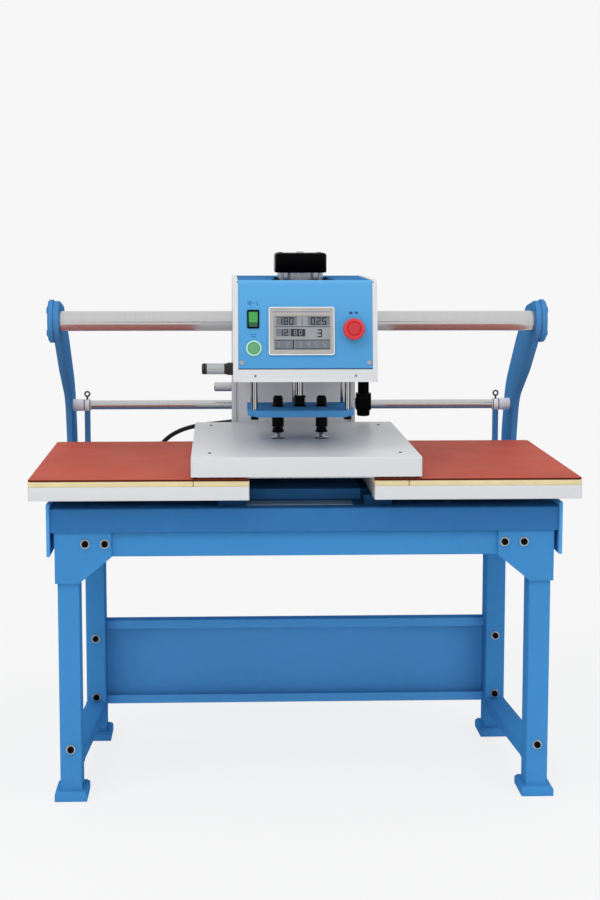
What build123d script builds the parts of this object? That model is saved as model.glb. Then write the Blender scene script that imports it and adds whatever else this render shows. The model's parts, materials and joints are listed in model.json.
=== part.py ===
from build123d import *

import os
from math import atan2, cos, pi, radians, sin, tan

# Two-station pneumatic heat press with a sliding head, in millimetres.
# X runs across the stand, Y from the operator to the rear, Z up.
# The origin is on the floor, under the middle of the machine's outline.

os.makedirs("parts", exist_ok=True)

# Outline of the whole machine
OVERALL_DEPTH = 800.0
FRONT = -OVERALL_DEPTH / 2
REAR = OVERALL_DEPTH / 2

# Clearances
TOUCH_GAP = 0.3
RUNNING_GAP = 0.05
HOLE_GAP = 0.3
SCREW_GAP = 0.2

# Stand tubes and feet
LEG_WIDTH = 40.0
LEG_DEPTH = 60.0
LEG_WALL = 2.5
LEG_CORNER = 3.0
LEG_OUTER_X = 457.0
LEG_SETBACK = 50.0
LEG_SPACING_Y = 405.0
REAR_LEG_INSET = 20.0
FOOT_WIDTH = 60.0
FOOT_DEPTH = 88.0
FOOT_THICKNESS = 18.0
FOOT_CHAMFER = 5.0

# Gussets at the top of the front legs
GUSSET_THICKNESS = 6.0
GUSSET_OUTER_X = 461.0
GUSSET_INNER_X = 357.0
GUSSET_HEIGHT = 95.0
GUSSET_CUT_HEIGHT = 46.0
GUSSET_BOLT_X = (369.0, 405.0)
GUSSET_BOLT_DROP = 21.0

# Beam, braces and rear panel
BEAM_HEIGHT = 46.0
BEAM_DEPTH = 40.0
BRACE_HEIGHT = 24.0
BRACE_BOTTOM = 56.0
FRONT_BOLT_HEIGHT = 96.0
PANEL_BOTTOM = 68.0
PANEL_HEIGHT = 178.0
PANEL_DEPTH = 30.0
PANEL_LIP = 18.0
PANEL_SHEET = 2.5
PANEL_EAR = 30.0
PANEL_BOLT_INSET = (22.0, 32.0)

# Deck
DECK_TOP = 550.0
DECK_SHEET = 3.0
DECK_SKIRT = 44.0
DECK_SETBACK = 40.0
DECK_END_OUTER_X = 475.0
DECK_END_THICKNESS = 6.0
DECK_END_TOP = 559.0
DECK_END_HEIGHT = 97.0
DECK_END_LEAD = 4.0

# Platens
PLATEN_WIDTH = 400.0
RIGHT_PLATEN_TRIM = 20.0
PLATEN_DEPTH = 600.0
PLATEN_SETBACK = 5.0
PLATEN_RAISE = 20.0
PLATEN_BASE_HEIGHT = 25.0
PLATEN_WALL = 3.0
PLATEN_CORNER = 3.0
PAD_EXPOSED = 10.0
PAD_BOARD_WIDTH = 102.0
RIGHT_PAD_BOARD_WIDTH = 63.0
PAD_JOINT = 0.6
MAT_THICKNESS = 4.0
MAT_INSET = 5.0
MAT_CORNER = 18.0
BRIDGE_SETBACK = 150.0
BRIDGE_DEPTH = 300.0
BRIDGE_LENGTH = 930.0
BRIDGE_SHEET = 3.0
BLOCK_WIDTH = 52.0
BLOCK_DEPTH = 34.0
BLOCK_INSET = 5.0
BLOCK_SETBACK = 66.0

# Travel of the sliding head and of the pressing head
STATION_TRAVEL = 304.0
STROKE = 40.0
REST_GAP = 1.0
STOP_GAP = 0.5

# Sliding head
HEAD_WIDTH = 264.0
SIDE_PLATE = 9.0
HEAD_FRONT_SETBACK = 50.0
HEAD_BOTTOM = 781.0
HEAD_TOP = 966.0
FRONT_BAR_HEIGHT = 23.0
PANEL_LEAN = 28.0
TOP_REAR_SETBACK = 452.0
COLUMN_FRONT_SETBACK = 616.0
COLUMN_DEPTH = 119.0
COLUMN_BOTTOM = 627.0
COLUMN_SHOULDER = 827.0
HEAD_OUTER_CORNER = 10.0
HEAD_INNER_CORNER = 30.0
HEAD_SHEET = 2.5
PANEL_RECESS = 1.0
COLUMN_PANEL_RECESS = 6.0
BASE_PLATE = 12.0
OPENING_FRONT_WIDTH = 128.0
OPENING_REAR_WIDTH = 104.0
OPENING_MARGIN = 8.0

# Rails
RAIL_DIAMETER = 40.0
RAIL_SETBACK = 388.0
RAIL_HEIGHT = 876.0
BEARING_WIDTH = 72.0
BEARING_LENGTH = 58.0
BEARING_CORNER = 8.0
GUIDE_ROD_DIAMETER = 20.0
GUIDE_ROD_SETBACK = 680.0
GUIDE_ROD_HEIGHT = 680.0
ROD_BUSH_DIAMETER = 30.0
ROD_BUSH_LENGTH = 26.0

# Arms
ARM_THICKNESS = 12.0
ARM_BOSS_RADIUS = 40.0
CAP_RADIUS = 43.0
CAP_THICKNESS = 10.0
CAP_EDGE = 3.0
CAP_BOLT_CIRCLE = 62.0
ARM_BOTTOM = 467.0
ARM_FOOT_DEPTH = 135.0
ARM_FOOT_INSET = 15.0
ARM_BOLT_SPACING_Y = 90.0
ARM_BOLT_HEIGHTS = (486.0, 534.0)
# Bends of the neck, each with its distance in front of the foot's rear edge, height and radius
ARM_FRONT_BENDS = (
    (135.0, 605.0, 120.0),
    (167.0, 699.0, 90.0),
    (299.0, 769.0, 120.0),
)
ARM_REAR_BENDS = (
    (303.0, 902.0, 60.0),
    (185.0, 829.0, 150.0),
    (47.0, 721.0, 150.0),
    (0.0, 611.0, 120.0),
)

# Rod supports and stops
COLLAR_RADIUS = 12.0
COLLAR_WIDTH = 16.0
SPACER_RADIUS = 13.0
POST_WIDTH = 12.0
POST_DEPTH = 10.0
POST_FOOT = 34.0
POST_FOOT_THICKNESS = 4.0
EYE_SHANK_RADIUS = 2.5
EYE_RING_RADIUS = 5.0
EYE_WIRE_RADIUS = 1.6
EYE_SHANK_SHOWN = 7.0

# Pressing head
PLATE_THICKNESS = 24.0
PLATE_EDGE = 2.0
COVER_OVERHANG_X = 10.0
COVER_OVERHANG_Y = 5.0
COVER_TOP = 649.0
COVER_SKIRT = 36.0
COVER_SHEET = 2.0
COVER_CORNER = 4.0
COVER_SCREW_INSET_X = 34.0
COVER_SCREW_INSET_Y = 65.0
STANDOFF_RADIUS = 8.0
CROSS_PLATE_WIDTH = 206.0
CROSS_PLATE_DEPTH = 176.0
CROSS_PLATE_THICKNESS = 13.0
LIFT_ROOM = 15.0
CROSS_PLATE_CUT_X = 18.0
CROSS_PLATE_CUT_Y = 38.0
SENSOR_ROD_RADIUS = 4.0
SENSOR_ROD_X = -9.0
SENSOR_ROD_SETBACK = 62.0
GUIDE_SPACING_X = 180.0
GUIDE_SPACING_Y = 136.0
GUIDE_DIAMETER = 12.0
GUIDE_TOP_SHOWN = 2.0
GUIDE_BUSH_RADIUS = 11.0
GUIDE_BUSH_DROP = 14.0
STUD_SPACING = 86.0
STUD_RADIUS = 6.0
NUT_RADIUS = 12.0
UPPER_NUT_HEIGHT = 22.0
LOWER_NUT_HEIGHT = 27.0
FLANGE_NUT_HEIGHT = 10.0
FLANGE_NUT_BOTTOM = 661.0
RING_RADIUS = 13.0
RING_HEIGHT = 4.0
HEAD_BOLT_RADIUS = 8.0
HEAD_BOLT_HEIGHT = 6.0

# Cylinder
PISTON_ROD_RADIUS = 7.0
CYLINDER_WIDTH = 90.0
CYLINDER_FOOT = 28.0
BARREL_RADIUS = 39.0
BARREL_BORE = 35.0
CYLINDER_TOP = 975.0
CAP_WIDTH = 100.0
CAP_HEIGHT = 38.0
CAP_ROUND = 12.0
TIE_ROD_RADIUS = 5.0
TIE_ROD_GRID_WIDTH = 76.0
PISTON_HEIGHT = 20.0
PISTON_LIFT = 6.0

# Control panel fittings, placed from the panel's lower middle
SCREEN_CENTRE = (-7.0, 70.5)
SCREEN_BEZEL = (120.0, 88.0)
SCREEN_GLASS = (97.0, 61.0)
SCREEN_RAISE = 3.0
ROCKER_CENTRE = (-95.5, 92.5)
ROCKER_FRAME = (22.0, 34.0)
ROCKER_KEY = (16.0, 27.0)
ROCKER_TILT = 8.0
ROCKER_AXLE_DROP = 1.0
ROCKER_ROOT = 5.0
ROCKER_END_RISE = 4.0
ROCKER_WAIST_RISE = 2.2
START_CENTRE = (-94.5, 39.0)
START_BEZEL_RADIUS = 14.5
START_BUTTON_RADIUS = 10.8
START_TRAVEL = 3.0
ESTOP_CENTRE = (88.0, 72.5)
ESTOP_COLLAR_RADIUS = 16.0
ESTOP_COLLAR_HEIGHT = 2.5
ESTOP_STEM_RADIUS = 7.5
ESTOP_HEAD_RADIUS = 20.0
ESTOP_HEAD_HEIGHT = 13.0
ESTOP_TRAVEL = 5.0
PANEL_SCREW_X = 116.5
PANEL_SCREW_UP = 13.0
BAR_SCREW_X = 92.0
BUTTON_DEPTH = 22.0

# Fittings on the sides of the head
HANDLE_SETBACK = 190.0
HANDLE_RAISE = 14.0
HANDLE_RADIUS = 10.5
HANDLE_LENGTH = 59.0
HANDLE_FLANGE_RADIUS = 12.0
HANDLE_FLANGE = 11.0
PIN_RADIUS = 10.0
PIN_LENGTH = 38.0
PIN_SETBACK = 645.0
PIN_RAISE = 95.0
REGULATOR_WIDTH = 32.0
REGULATOR_DEPTH = 34.0
REGULATOR_HEIGHT = 36.0
REGULATOR_BOTTOM = 672.0
REGULATOR_SETBACK = 645.0
REGULATOR_STANDOFF = 4.0
BOWL_RADIUS = 14.0
BOWL_HEIGHT = 14.0
KNOB_RADIUS = 12.0
KNOB_HEIGHT = 25.0
KNOB_GROOVES = 12
PORT_RADIUS = 7.0
INLET_RADIUS = 4.5
INLET_DROP = 11.0
INLET_DEPTH = 9.0

# Bolts, all with a round head on a washer
BOLT_RADIUS = 4.0
BOLT_HEAD_RADIUS = 7.5
BOLT_HEAD_HEIGHT = 5.0
WASHER_RADIUS = 9.0
WASHER_THICKNESS = 1.6
SOCKET_RADIUS = 2.8
SMALL_SCREW_RADIUS = 2.0
SMALL_HEAD_RADIUS = 4.2
SMALL_HEAD_HEIGHT = 2.2

# Lead
LEAD_DIAMETER = 10.0
GLAND_RADIUS = 11.0
GLAND_LENGTH = 12.0
LEAD_START_X = -108.0
LEAD_START_HEIGHT = 644.0
LEAD_BEND_SHARE = 0.45
DECK_GLAND_X = -262.0

# Places worked out from the sizes above
LEG_FRONT = FRONT + LEG_SETBACK
LEG_Y = LEG_FRONT + LEG_DEPTH / 2
LEG_X = LEG_OUTER_X - LEG_WIDTH / 2
LEG_TOP = DECK_TOP - DECK_SHEET
REAR_LEG_X = LEG_X - REAR_LEG_INSET
REAR_LEG_Y = LEG_Y + LEG_SPACING_Y
REAR_LEG_BACK = REAR_LEG_Y + LEG_DEPTH / 2
DECK_FRONT = FRONT + DECK_SETBACK
DECK_BOTTOM = DECK_TOP - DECK_SKIRT
DECK_INNER_X = DECK_END_OUTER_X - DECK_END_THICKNESS
DECK_END_BOTTOM = DECK_END_TOP - DECK_END_HEIGHT
GUSSET_TOP = DECK_BOTTOM - TOUCH_GAP
BEAM_TOP = DECK_BOTTOM - TOUCH_GAP
PLATEN_Y = FRONT + PLATEN_SETBACK + PLATEN_DEPTH / 2
PLATEN_BOTTOM = DECK_TOP + PLATEN_RAISE
PLATEN_TOP = PLATEN_BOTTOM + PLATEN_BASE_HEIGHT
PAD_TOP = PLATEN_TOP + PAD_EXPOSED
MAT_TOP = PAD_TOP + MAT_THICKNESS
PLATE_BOTTOM = MAT_TOP + REST_GAP
PLATE_TOP = PLATE_BOTTOM + PLATE_THICKNESS
COVER_WIDTH = PLATEN_WIDTH + 2 * COVER_OVERHANG_X
COVER_DEPTH = PLATEN_DEPTH + 2 * COVER_OVERHANG_Y
COVER_SCREW_SPACING_X = COVER_WIDTH - 2 * COVER_SCREW_INSET_X
COVER_SCREW_SPACING_Y = COVER_DEPTH - 2 * COVER_SCREW_INSET_Y
COVER_Y = FRONT + COVER_DEPTH / 2
RAM_Y = COVER_Y
COVER_UNDERSIDE = COVER_TOP - COVER_SHEET
RAIL_Y = FRONT + RAIL_SETBACK
GUIDE_ROD_Y = FRONT + GUIDE_ROD_SETBACK
HEAD_HALF = HEAD_WIDTH / 2
HEAD_INNER = HEAD_HALF - SIDE_PLATE
HEAD_FRONT = FRONT + HEAD_FRONT_SETBACK
COLUMN_FRONT = FRONT + COLUMN_FRONT_SETBACK
COLUMN_REAR = COLUMN_FRONT + COLUMN_DEPTH
TOP_REAR = FRONT + TOP_REAR_SETBACK
HANDLE_HEIGHT = HEAD_BOTTOM + HANDLE_RAISE
PIN_HEIGHT = COLUMN_BOTTOM + PIN_RAISE
BASE_PLATE_BOTTOM = HEAD_BOTTOM
BASE_PLATE_TOP = HEAD_BOTTOM + BASE_PLATE
SLOPE_BOTTOM = HEAD_BOTTOM + FRONT_BAR_HEIGHT
ARM_INNER_X = DECK_END_OUTER_X
ARM_OUTER_X = ARM_INNER_X + ARM_THICKNESS
COLLAR_INNER_X = STATION_TRAVEL + HEAD_HALF + STOP_GAP
COLLAR_X = COLLAR_INNER_X + COLLAR_WIDTH / 2
SPACER_INNER_X = COLLAR_INNER_X + COLLAR_WIDTH + TOUCH_GAP
CROSS_PLATE_TOP = HEAD_BOTTOM - GUIDE_BUSH_DROP - STROKE - LIFT_ROOM
CROSS_PLATE_BOTTOM = CROSS_PLATE_TOP - CROSS_PLATE_THICKNESS

# The sloping control panel's own plane, with its origin at the lower middle
panel_slope = atan2(PANEL_LEAN, HEAD_TOP - SLOPE_BOTTOM)
PANEL_LENGTH = (HEAD_TOP - SLOPE_BOTTOM) / cos(panel_slope)
PANEL_EDGE_PLANE = Plane(
    origin=(0, HEAD_FRONT, SLOPE_BOTTOM),
    x_dir=(1, 0, 0),
    z_dir=(0, -cos(panel_slope), sin(panel_slope)),
)
PANEL_FACE = PANEL_EDGE_PLANE.offset(-PANEL_RECESS)


def save(piece, label):
    """Label a finished piece and write it as one STEP file."""
    piece.part.label = label
    export_step(piece.part, f"parts/{label}.step")


def side_name(side):
    return "left" if side < 0 else "right"


def bolt_at(plane, grip):
    """Socket bolt and washer, seated on a plane whose normal points outwards."""
    with BuildPart(mode=Mode.PRIVATE) as bolt:
        with BuildSketch(plane):
            Circle(WASHER_RADIUS)
        extrude(amount=WASHER_THICKNESS)
        with BuildSketch(plane.offset(WASHER_THICKNESS)):
            Circle(BOLT_HEAD_RADIUS)
        extrude(amount=BOLT_HEAD_HEIGHT)
        with BuildSketch(plane.offset(WASHER_THICKNESS + BOLT_HEAD_HEIGHT)):
            RegularPolygon(SOCKET_RADIUS, 6)
        extrude(amount=-BOLT_HEAD_HEIGHT / 2, mode=Mode.SUBTRACT)
        with BuildSketch(plane):
            Circle(BOLT_RADIUS)
        extrude(amount=-grip)
    return bolt.part


def small_screw_at(plane, grip):
    """Pan-head screw with its head seated on a plane."""
    with BuildPart(mode=Mode.PRIVATE) as screw:
        with BuildSketch(plane):
            Circle(SMALL_HEAD_RADIUS)
        extrude(amount=SMALL_HEAD_HEIGHT, taper=20)
        with BuildSketch(plane):
            Circle(SMALL_SCREW_RADIUS)
        extrude(amount=-grip)
    return screw.part


def facing_front(x, y, z):
    return Plane(origin=(x, y, z), x_dir=(1, 0, 0), z_dir=(0, -1, 0))


def facing_side(side, x, y, z):
    return Plane(origin=(x, y, z), x_dir=(0, side, 0), z_dir=(side, 0, 0))


def facing_up(x, y, z):
    return Plane(origin=(x, y, z))


GUSSET_BOLTS = [
    facing_front(side * x, LEG_FRONT - GUSSET_THICKNESS, GUSSET_TOP - GUSSET_BOLT_DROP)
    for side in (-1, 1)
    for x in GUSSET_BOLT_X
]
FRONT_BOLTS = [facing_front(side * LEG_X, LEG_FRONT, FRONT_BOLT_HEIGHT) for side in (-1, 1)]
PANEL_BOLTS = [
    facing_front(side * REAR_LEG_X, REAR_LEG_Y - LEG_DEPTH / 2, height)
    for side in (-1, 1)
    for height in (
        PANEL_BOTTOM + PANEL_BOLT_INSET[0],
        PANEL_BOTTOM + PANEL_HEIGHT - PANEL_BOLT_INSET[1],
    )
]
ARM_REAR = REAR - ARM_FOOT_INSET
ARM_FOOT_FRONT = ARM_REAR - ARM_FOOT_DEPTH
ARM_FOOT_Y = (ARM_FOOT_FRONT + ARM_REAR) / 2
ARM_BOLTS = [
    facing_side(side, side * ARM_OUTER_X, ARM_FOOT_Y + offset, height)
    for side in (-1, 1)
    for offset in (-ARM_BOLT_SPACING_Y / 2, ARM_BOLT_SPACING_Y / 2)
    for height in ARM_BOLT_HEIGHTS
]
CAP_BOLTS = [
    facing_side(
        side,
        side * (ARM_OUTER_X + CAP_THICKNESS),
        RAIL_Y + CAP_BOLT_CIRCLE / 2 * cos(radians(angle)),
        RAIL_HEIGHT + CAP_BOLT_CIRCLE / 2 * sin(radians(angle)),
    )
    for side in (-1, 1)
    for angle in (45, 135, 225, 315)
]
GUSSET_GRIP = GUSSET_THICKNESS + LEG_WALL + BOLT_RADIUS
FRONT_GRIP = LEG_DEPTH
PANEL_GRIP = LEG_DEPTH + PANEL_SHEET + BOLT_RADIUS
ARM_GRIP = ARM_THICKNESS + DECK_END_THICKNESS
CAP_GRIP = CAP_THICKNESS + ARM_THICKNESS


def holes_at(planes, depth, radius=BOLT_RADIUS + HOLE_GAP):
    """Round bars to cut away, each running down from its plane."""
    with BuildPart(mode=Mode.PRIVATE) as bars:
        for plane in planes:
            with BuildSketch(plane):
                Circle(radius)
            extrude(amount=-depth)
    return bars.part


# Legs: square tubes on foot plates, the front pair with a bolted gusset
def leg_tube(x, y):
    with BuildPart(mode=Mode.PRIVATE) as leg:
        with BuildSketch(Plane.XY.offset(FOOT_THICKNESS)):
            with Locations((x, y)):
                RectangleRounded(LEG_WIDTH, LEG_DEPTH, LEG_CORNER)
                Rectangle(LEG_WIDTH - 2 * LEG_WALL, LEG_DEPTH - 2 * LEG_WALL, mode=Mode.SUBTRACT)
        extrude(amount=LEG_TOP - FOOT_THICKNESS)
        with BuildSketch(Plane.XY):
            with Locations((x, y)):
                Rectangle(FOOT_WIDTH, FOOT_DEPTH)
        foot = extrude(amount=FOOT_THICKNESS)
        chamfer(foot.edges().group_by(Axis.Z)[-1], FOOT_CHAMFER)
    return leg.part


with BuildPart() as front_legs:
    for side in (-1, 1):
        add(leg_tube(side * LEG_X, LEG_Y))
        with BuildSketch(Plane.XZ.offset(-LEG_FRONT)):
            with BuildLine():
                Polyline(
                    (side * GUSSET_OUTER_X, GUSSET_TOP),
                    (side * GUSSET_INNER_X, GUSSET_TOP),
                    (side * GUSSET_INNER_X, GUSSET_TOP - GUSSET_CUT_HEIGHT),
                    (side * (LEG_OUTER_X - LEG_WIDTH), GUSSET_TOP - GUSSET_HEIGHT),
                    (side * GUSSET_OUTER_X, GUSSET_TOP - GUSSET_HEIGHT),
                    close=True,
                )
            make_face()
        extrude(amount=GUSSET_THICKNESS)
    add(holes_at(GUSSET_BOLTS, GUSSET_THICKNESS), mode=Mode.SUBTRACT)
    add(holes_at(FRONT_BOLTS, LEG_DEPTH), mode=Mode.SUBTRACT)
save(front_legs, "front_legs")

with BuildPart() as rear_legs:
    for side in (-1, 1):
        add(leg_tube(side * REAR_LEG_X, REAR_LEG_Y))
    add(holes_at(PANEL_BOLTS, LEG_DEPTH), mode=Mode.SUBTRACT)
save(rear_legs, "rear_legs")

# Front beam: a rectangular tube between the legs, behind the gussets
BEAM_LENGTH = 2 * (LEG_OUTER_X - LEG_WIDTH)
with BuildPart() as front_beam:
    with BuildSketch(Plane.YZ.offset(-BEAM_LENGTH / 2)):
        with Locations((LEG_FRONT + BEAM_DEPTH / 2, BEAM_TOP - BEAM_HEIGHT / 2)):
            RectangleRounded(BEAM_DEPTH, BEAM_HEIGHT, LEG_CORNER)
            Rectangle(BEAM_DEPTH - 2 * LEG_WALL, BEAM_HEIGHT - 2 * LEG_WALL, mode=Mode.SUBTRACT)
    extrude(amount=BEAM_LENGTH)
    add(holes_at(GUSSET_BOLTS, GUSSET_THICKNESS + 2 * LEG_WALL), mode=Mode.SUBTRACT)
save(front_beam, "front_beam")

# Side braces: flat tubes low down, welded between the front and rear legs
BRACE_FRONT = LEG_FRONT + LEG_DEPTH
BRACE_REAR = REAR_LEG_Y - LEG_DEPTH / 2


def brace_outline(side, inset):
    """Corners of one brace in plan, moved in from its sides by an inset."""
    front_outer = side * (LEG_X + LEG_WIDTH / 2 - inset)
    front_inner = side * (LEG_X - LEG_WIDTH / 2 + inset)
    rear_outer = side * (REAR_LEG_X + LEG_WIDTH / 2 - inset)
    rear_inner = side * (REAR_LEG_X - LEG_WIDTH / 2 + inset)
    return (
        (front_outer, BRACE_FRONT),
        (front_inner, BRACE_FRONT),
        (rear_inner, BRACE_REAR),
        (rear_outer, BRACE_REAR),
    )


with BuildPart() as side_braces:
    for side in (-1, 1):
        with BuildSketch(Plane.XY.offset(BRACE_BOTTOM)):
            with BuildLine():
                Polyline(*brace_outline(side, 0), close=True)
            make_face()
        extrude(amount=BRACE_HEIGHT)
        with BuildSketch(Plane.XY.offset(BRACE_BOTTOM + LEG_WALL)):
            with BuildLine():
                Polyline(*brace_outline(side, LEG_WALL), close=True)
            make_face()
        extrude(amount=BRACE_HEIGHT - 2 * LEG_WALL, mode=Mode.SUBTRACT)
save(side_braces, "side_braces")

# Rear panel: a lipped channel between the rear legs, with ears behind them
PANEL_HALF = REAR_LEG_X - LEG_WIDTH / 2 - TOUCH_GAP
PANEL_TOP = PANEL_BOTTOM + PANEL_HEIGHT
with BuildPart() as rear_panel:
    with BuildSketch(Plane.YZ.offset(-PANEL_HALF)):
        with BuildLine():
            Polyline(
                (REAR_LEG_BACK + PANEL_SHEET, PANEL_BOTTOM),
                (REAR_LEG_BACK - PANEL_DEPTH, PANEL_BOTTOM),
                (REAR_LEG_BACK - PANEL_DEPTH, PANEL_BOTTOM + PANEL_LIP),
                (REAR_LEG_BACK - PANEL_DEPTH + PANEL_SHEET, PANEL_BOTTOM + PANEL_LIP),
                (REAR_LEG_BACK - PANEL_DEPTH + PANEL_SHEET, PANEL_BOTTOM + PANEL_SHEET),
                (REAR_LEG_BACK, PANEL_BOTTOM + PANEL_SHEET),
                (REAR_LEG_BACK, PANEL_TOP - PANEL_SHEET),
                (REAR_LEG_BACK - PANEL_DEPTH + PANEL_SHEET, PANEL_TOP - PANEL_SHEET),
                (REAR_LEG_BACK - PANEL_DEPTH + PANEL_SHEET, PANEL_TOP - PANEL_LIP),
                (REAR_LEG_BACK - PANEL_DEPTH, PANEL_TOP - PANEL_LIP),
                (REAR_LEG_BACK - PANEL_DEPTH, PANEL_TOP),
                (REAR_LEG_BACK + PANEL_SHEET, PANEL_TOP),
                close=True,
            )
        make_face()
    extrude(amount=2 * PANEL_HALF)
    with BuildSketch(Plane.XZ.offset(-REAR_LEG_BACK)):
        with Locations((0, PANEL_BOTTOM + PANEL_HEIGHT / 2)):
            Rectangle(2 * (PANEL_HALF + PANEL_EAR), PANEL_HEIGHT)
    extrude(amount=-PANEL_SHEET)
    add(holes_at(PANEL_BOLTS, PANEL_GRIP), mode=Mode.SUBTRACT)
save(rear_panel, "rear_panel")

# Deck: a sheet tray with a skirt in front and behind, closed by two end plates
with BuildPart() as deck_tray:
    with BuildSketch(Plane.YZ.offset(-DECK_INNER_X)):
        with BuildLine():
            Polyline(
                (DECK_FRONT, DECK_BOTTOM),
                (DECK_FRONT, DECK_TOP),
                (REAR, DECK_TOP),
                (REAR, DECK_BOTTOM),
                (REAR - DECK_SHEET, DECK_BOTTOM),
                (REAR - DECK_SHEET, DECK_TOP - DECK_SHEET),
                (DECK_FRONT + DECK_SHEET, DECK_TOP - DECK_SHEET),
                (DECK_FRONT + DECK_SHEET, DECK_BOTTOM),
                close=True,
            )
        make_face()
    tray = extrude(amount=2 * DECK_INNER_X)
    fillet(tray.edges().filter_by(Axis.X).group_by(Axis.Z)[-1], DECK_SHEET - HOLE_GAP)
save(deck_tray, "deck_tray")

with BuildPart() as deck_ends:
    for side in (-1, 1):
        with BuildSketch(Plane.YZ.offset(side * DECK_INNER_X)):
            with BuildLine():
                Polyline(
                    (DECK_FRONT - DECK_END_LEAD, DECK_END_BOTTOM),
                    (DECK_FRONT - DECK_END_LEAD, DECK_END_TOP),
                    (REAR, DECK_END_TOP),
                    (REAR, DECK_END_BOTTOM),
                    close=True,
                )
            make_face()
        extrude(amount=side * DECK_END_THICKNESS)
    add(holes_at(ARM_BOLTS, ARM_GRIP), mode=Mode.SUBTRACT)
save(deck_ends, "deck_ends")

# Bridge: a folded channel across the deck that carries both platens, with a block under each inner front corner
BRIDGE_FRONT = FRONT + BRIDGE_SETBACK
block_x = STATION_TRAVEL - PLATEN_WIDTH / 2 + BLOCK_INSET + BLOCK_WIDTH / 2
BLOCK_PLACES = [(side * block_x, FRONT + BLOCK_SETBACK + BLOCK_DEPTH / 2) for side in (-1, 1)]
with BuildPart() as platen_bridge:
    with BuildSketch(Plane.YZ.offset(-BRIDGE_LENGTH / 2)):
        with BuildLine():
            Polyline(
                (BRIDGE_FRONT, DECK_TOP),
                (BRIDGE_FRONT, PLATEN_BOTTOM),
                (BRIDGE_FRONT + BRIDGE_DEPTH, PLATEN_BOTTOM),
                (BRIDGE_FRONT + BRIDGE_DEPTH, DECK_TOP),
                (BRIDGE_FRONT + BRIDGE_DEPTH - BRIDGE_SHEET, DECK_TOP),
                (BRIDGE_FRONT + BRIDGE_DEPTH - BRIDGE_SHEET, PLATEN_BOTTOM - BRIDGE_SHEET),
                (BRIDGE_FRONT + BRIDGE_SHEET, PLATEN_BOTTOM - BRIDGE_SHEET),
                (BRIDGE_FRONT + BRIDGE_SHEET, DECK_TOP),
                close=True,
            )
        make_face()
    extrude(amount=BRIDGE_LENGTH)
    with BuildSketch(Plane.XY.offset(DECK_TOP)):
        with Locations(*BLOCK_PLACES):
            Rectangle(BLOCK_WIDTH, BLOCK_DEPTH)
    extrude(amount=PLATEN_RAISE)
save(platen_bridge, "platen_bridge")

# Platens: a white pan, two cream boards in it and a red mat on top
for side in (-1, 1):
    trim = 0 if side < 0 else RIGHT_PLATEN_TRIM
    platen_width = PLATEN_WIDTH - trim
    outer_edge = side * (STATION_TRAVEL + PLATEN_WIDTH / 2)
    inner_edge = outer_edge - side * platen_width
    platen_x = (inner_edge + outer_edge) / 2
    joint = inner_edge + side * (PAD_BOARD_WIDTH if side < 0 else RIGHT_PAD_BOARD_WIDTH)

    with BuildPart() as platen_base:
        with BuildSketch(Plane.XY.offset(PLATEN_BOTTOM)):
            with Locations((platen_x, PLATEN_Y)):
                RectangleRounded(platen_width, PLATEN_DEPTH, PLATEN_CORNER)
        extrude(amount=PLATEN_BASE_HEIGHT)
        with BuildSketch(Plane.XY.offset(PLATEN_BOTTOM + PLATEN_WALL)):
            with Locations((platen_x, PLATEN_Y)):
                Rectangle(platen_width - 2 * PLATEN_WALL, PLATEN_DEPTH - 2 * PLATEN_WALL)
        extrude(amount=PLATEN_BASE_HEIGHT, mode=Mode.SUBTRACT)
    save(platen_base, f"platen_base_{side_name(side)}")

    with BuildPart() as pad:
        for near, far in ((inner_edge, joint - side * PAD_JOINT), (joint, outer_edge)):
            near_inset = PLATEN_WALL + TOUCH_GAP if near == inner_edge else 0
            far_inset = PLATEN_WALL + TOUCH_GAP if far == outer_edge else 0
            low_near = near + side * near_inset
            low_far = far - side * far_inset
            with BuildSketch(Plane.XY.offset(PLATEN_TOP)):
                with Locations(((near + far) / 2, PLATEN_Y)):
                    Rectangle(abs(far - near), PLATEN_DEPTH)
            extrude(amount=PAD_EXPOSED)
            with BuildSketch(Plane.XY.offset(PLATEN_BOTTOM + PLATEN_WALL)):
                with Locations(((low_near + low_far) / 2, PLATEN_Y)):
                    Rectangle(abs(low_far - low_near), PLATEN_DEPTH - 2 * (PLATEN_WALL + TOUCH_GAP))
            extrude(amount=PLATEN_BASE_HEIGHT - PLATEN_WALL)
    save(pad, f"pad_{side_name(side)}")

    with BuildPart() as mat:
        with BuildSketch(Plane.XY.offset(PAD_TOP)):
            with Locations((platen_x, PLATEN_Y)):
                RectangleRounded(platen_width - 2 * MAT_INSET, PLATEN_DEPTH - 2 * MAT_INSET, MAT_CORNER)
        extrude(amount=MAT_THICKNESS)
    save(mat, f"mat_{side_name(side)}")

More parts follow.
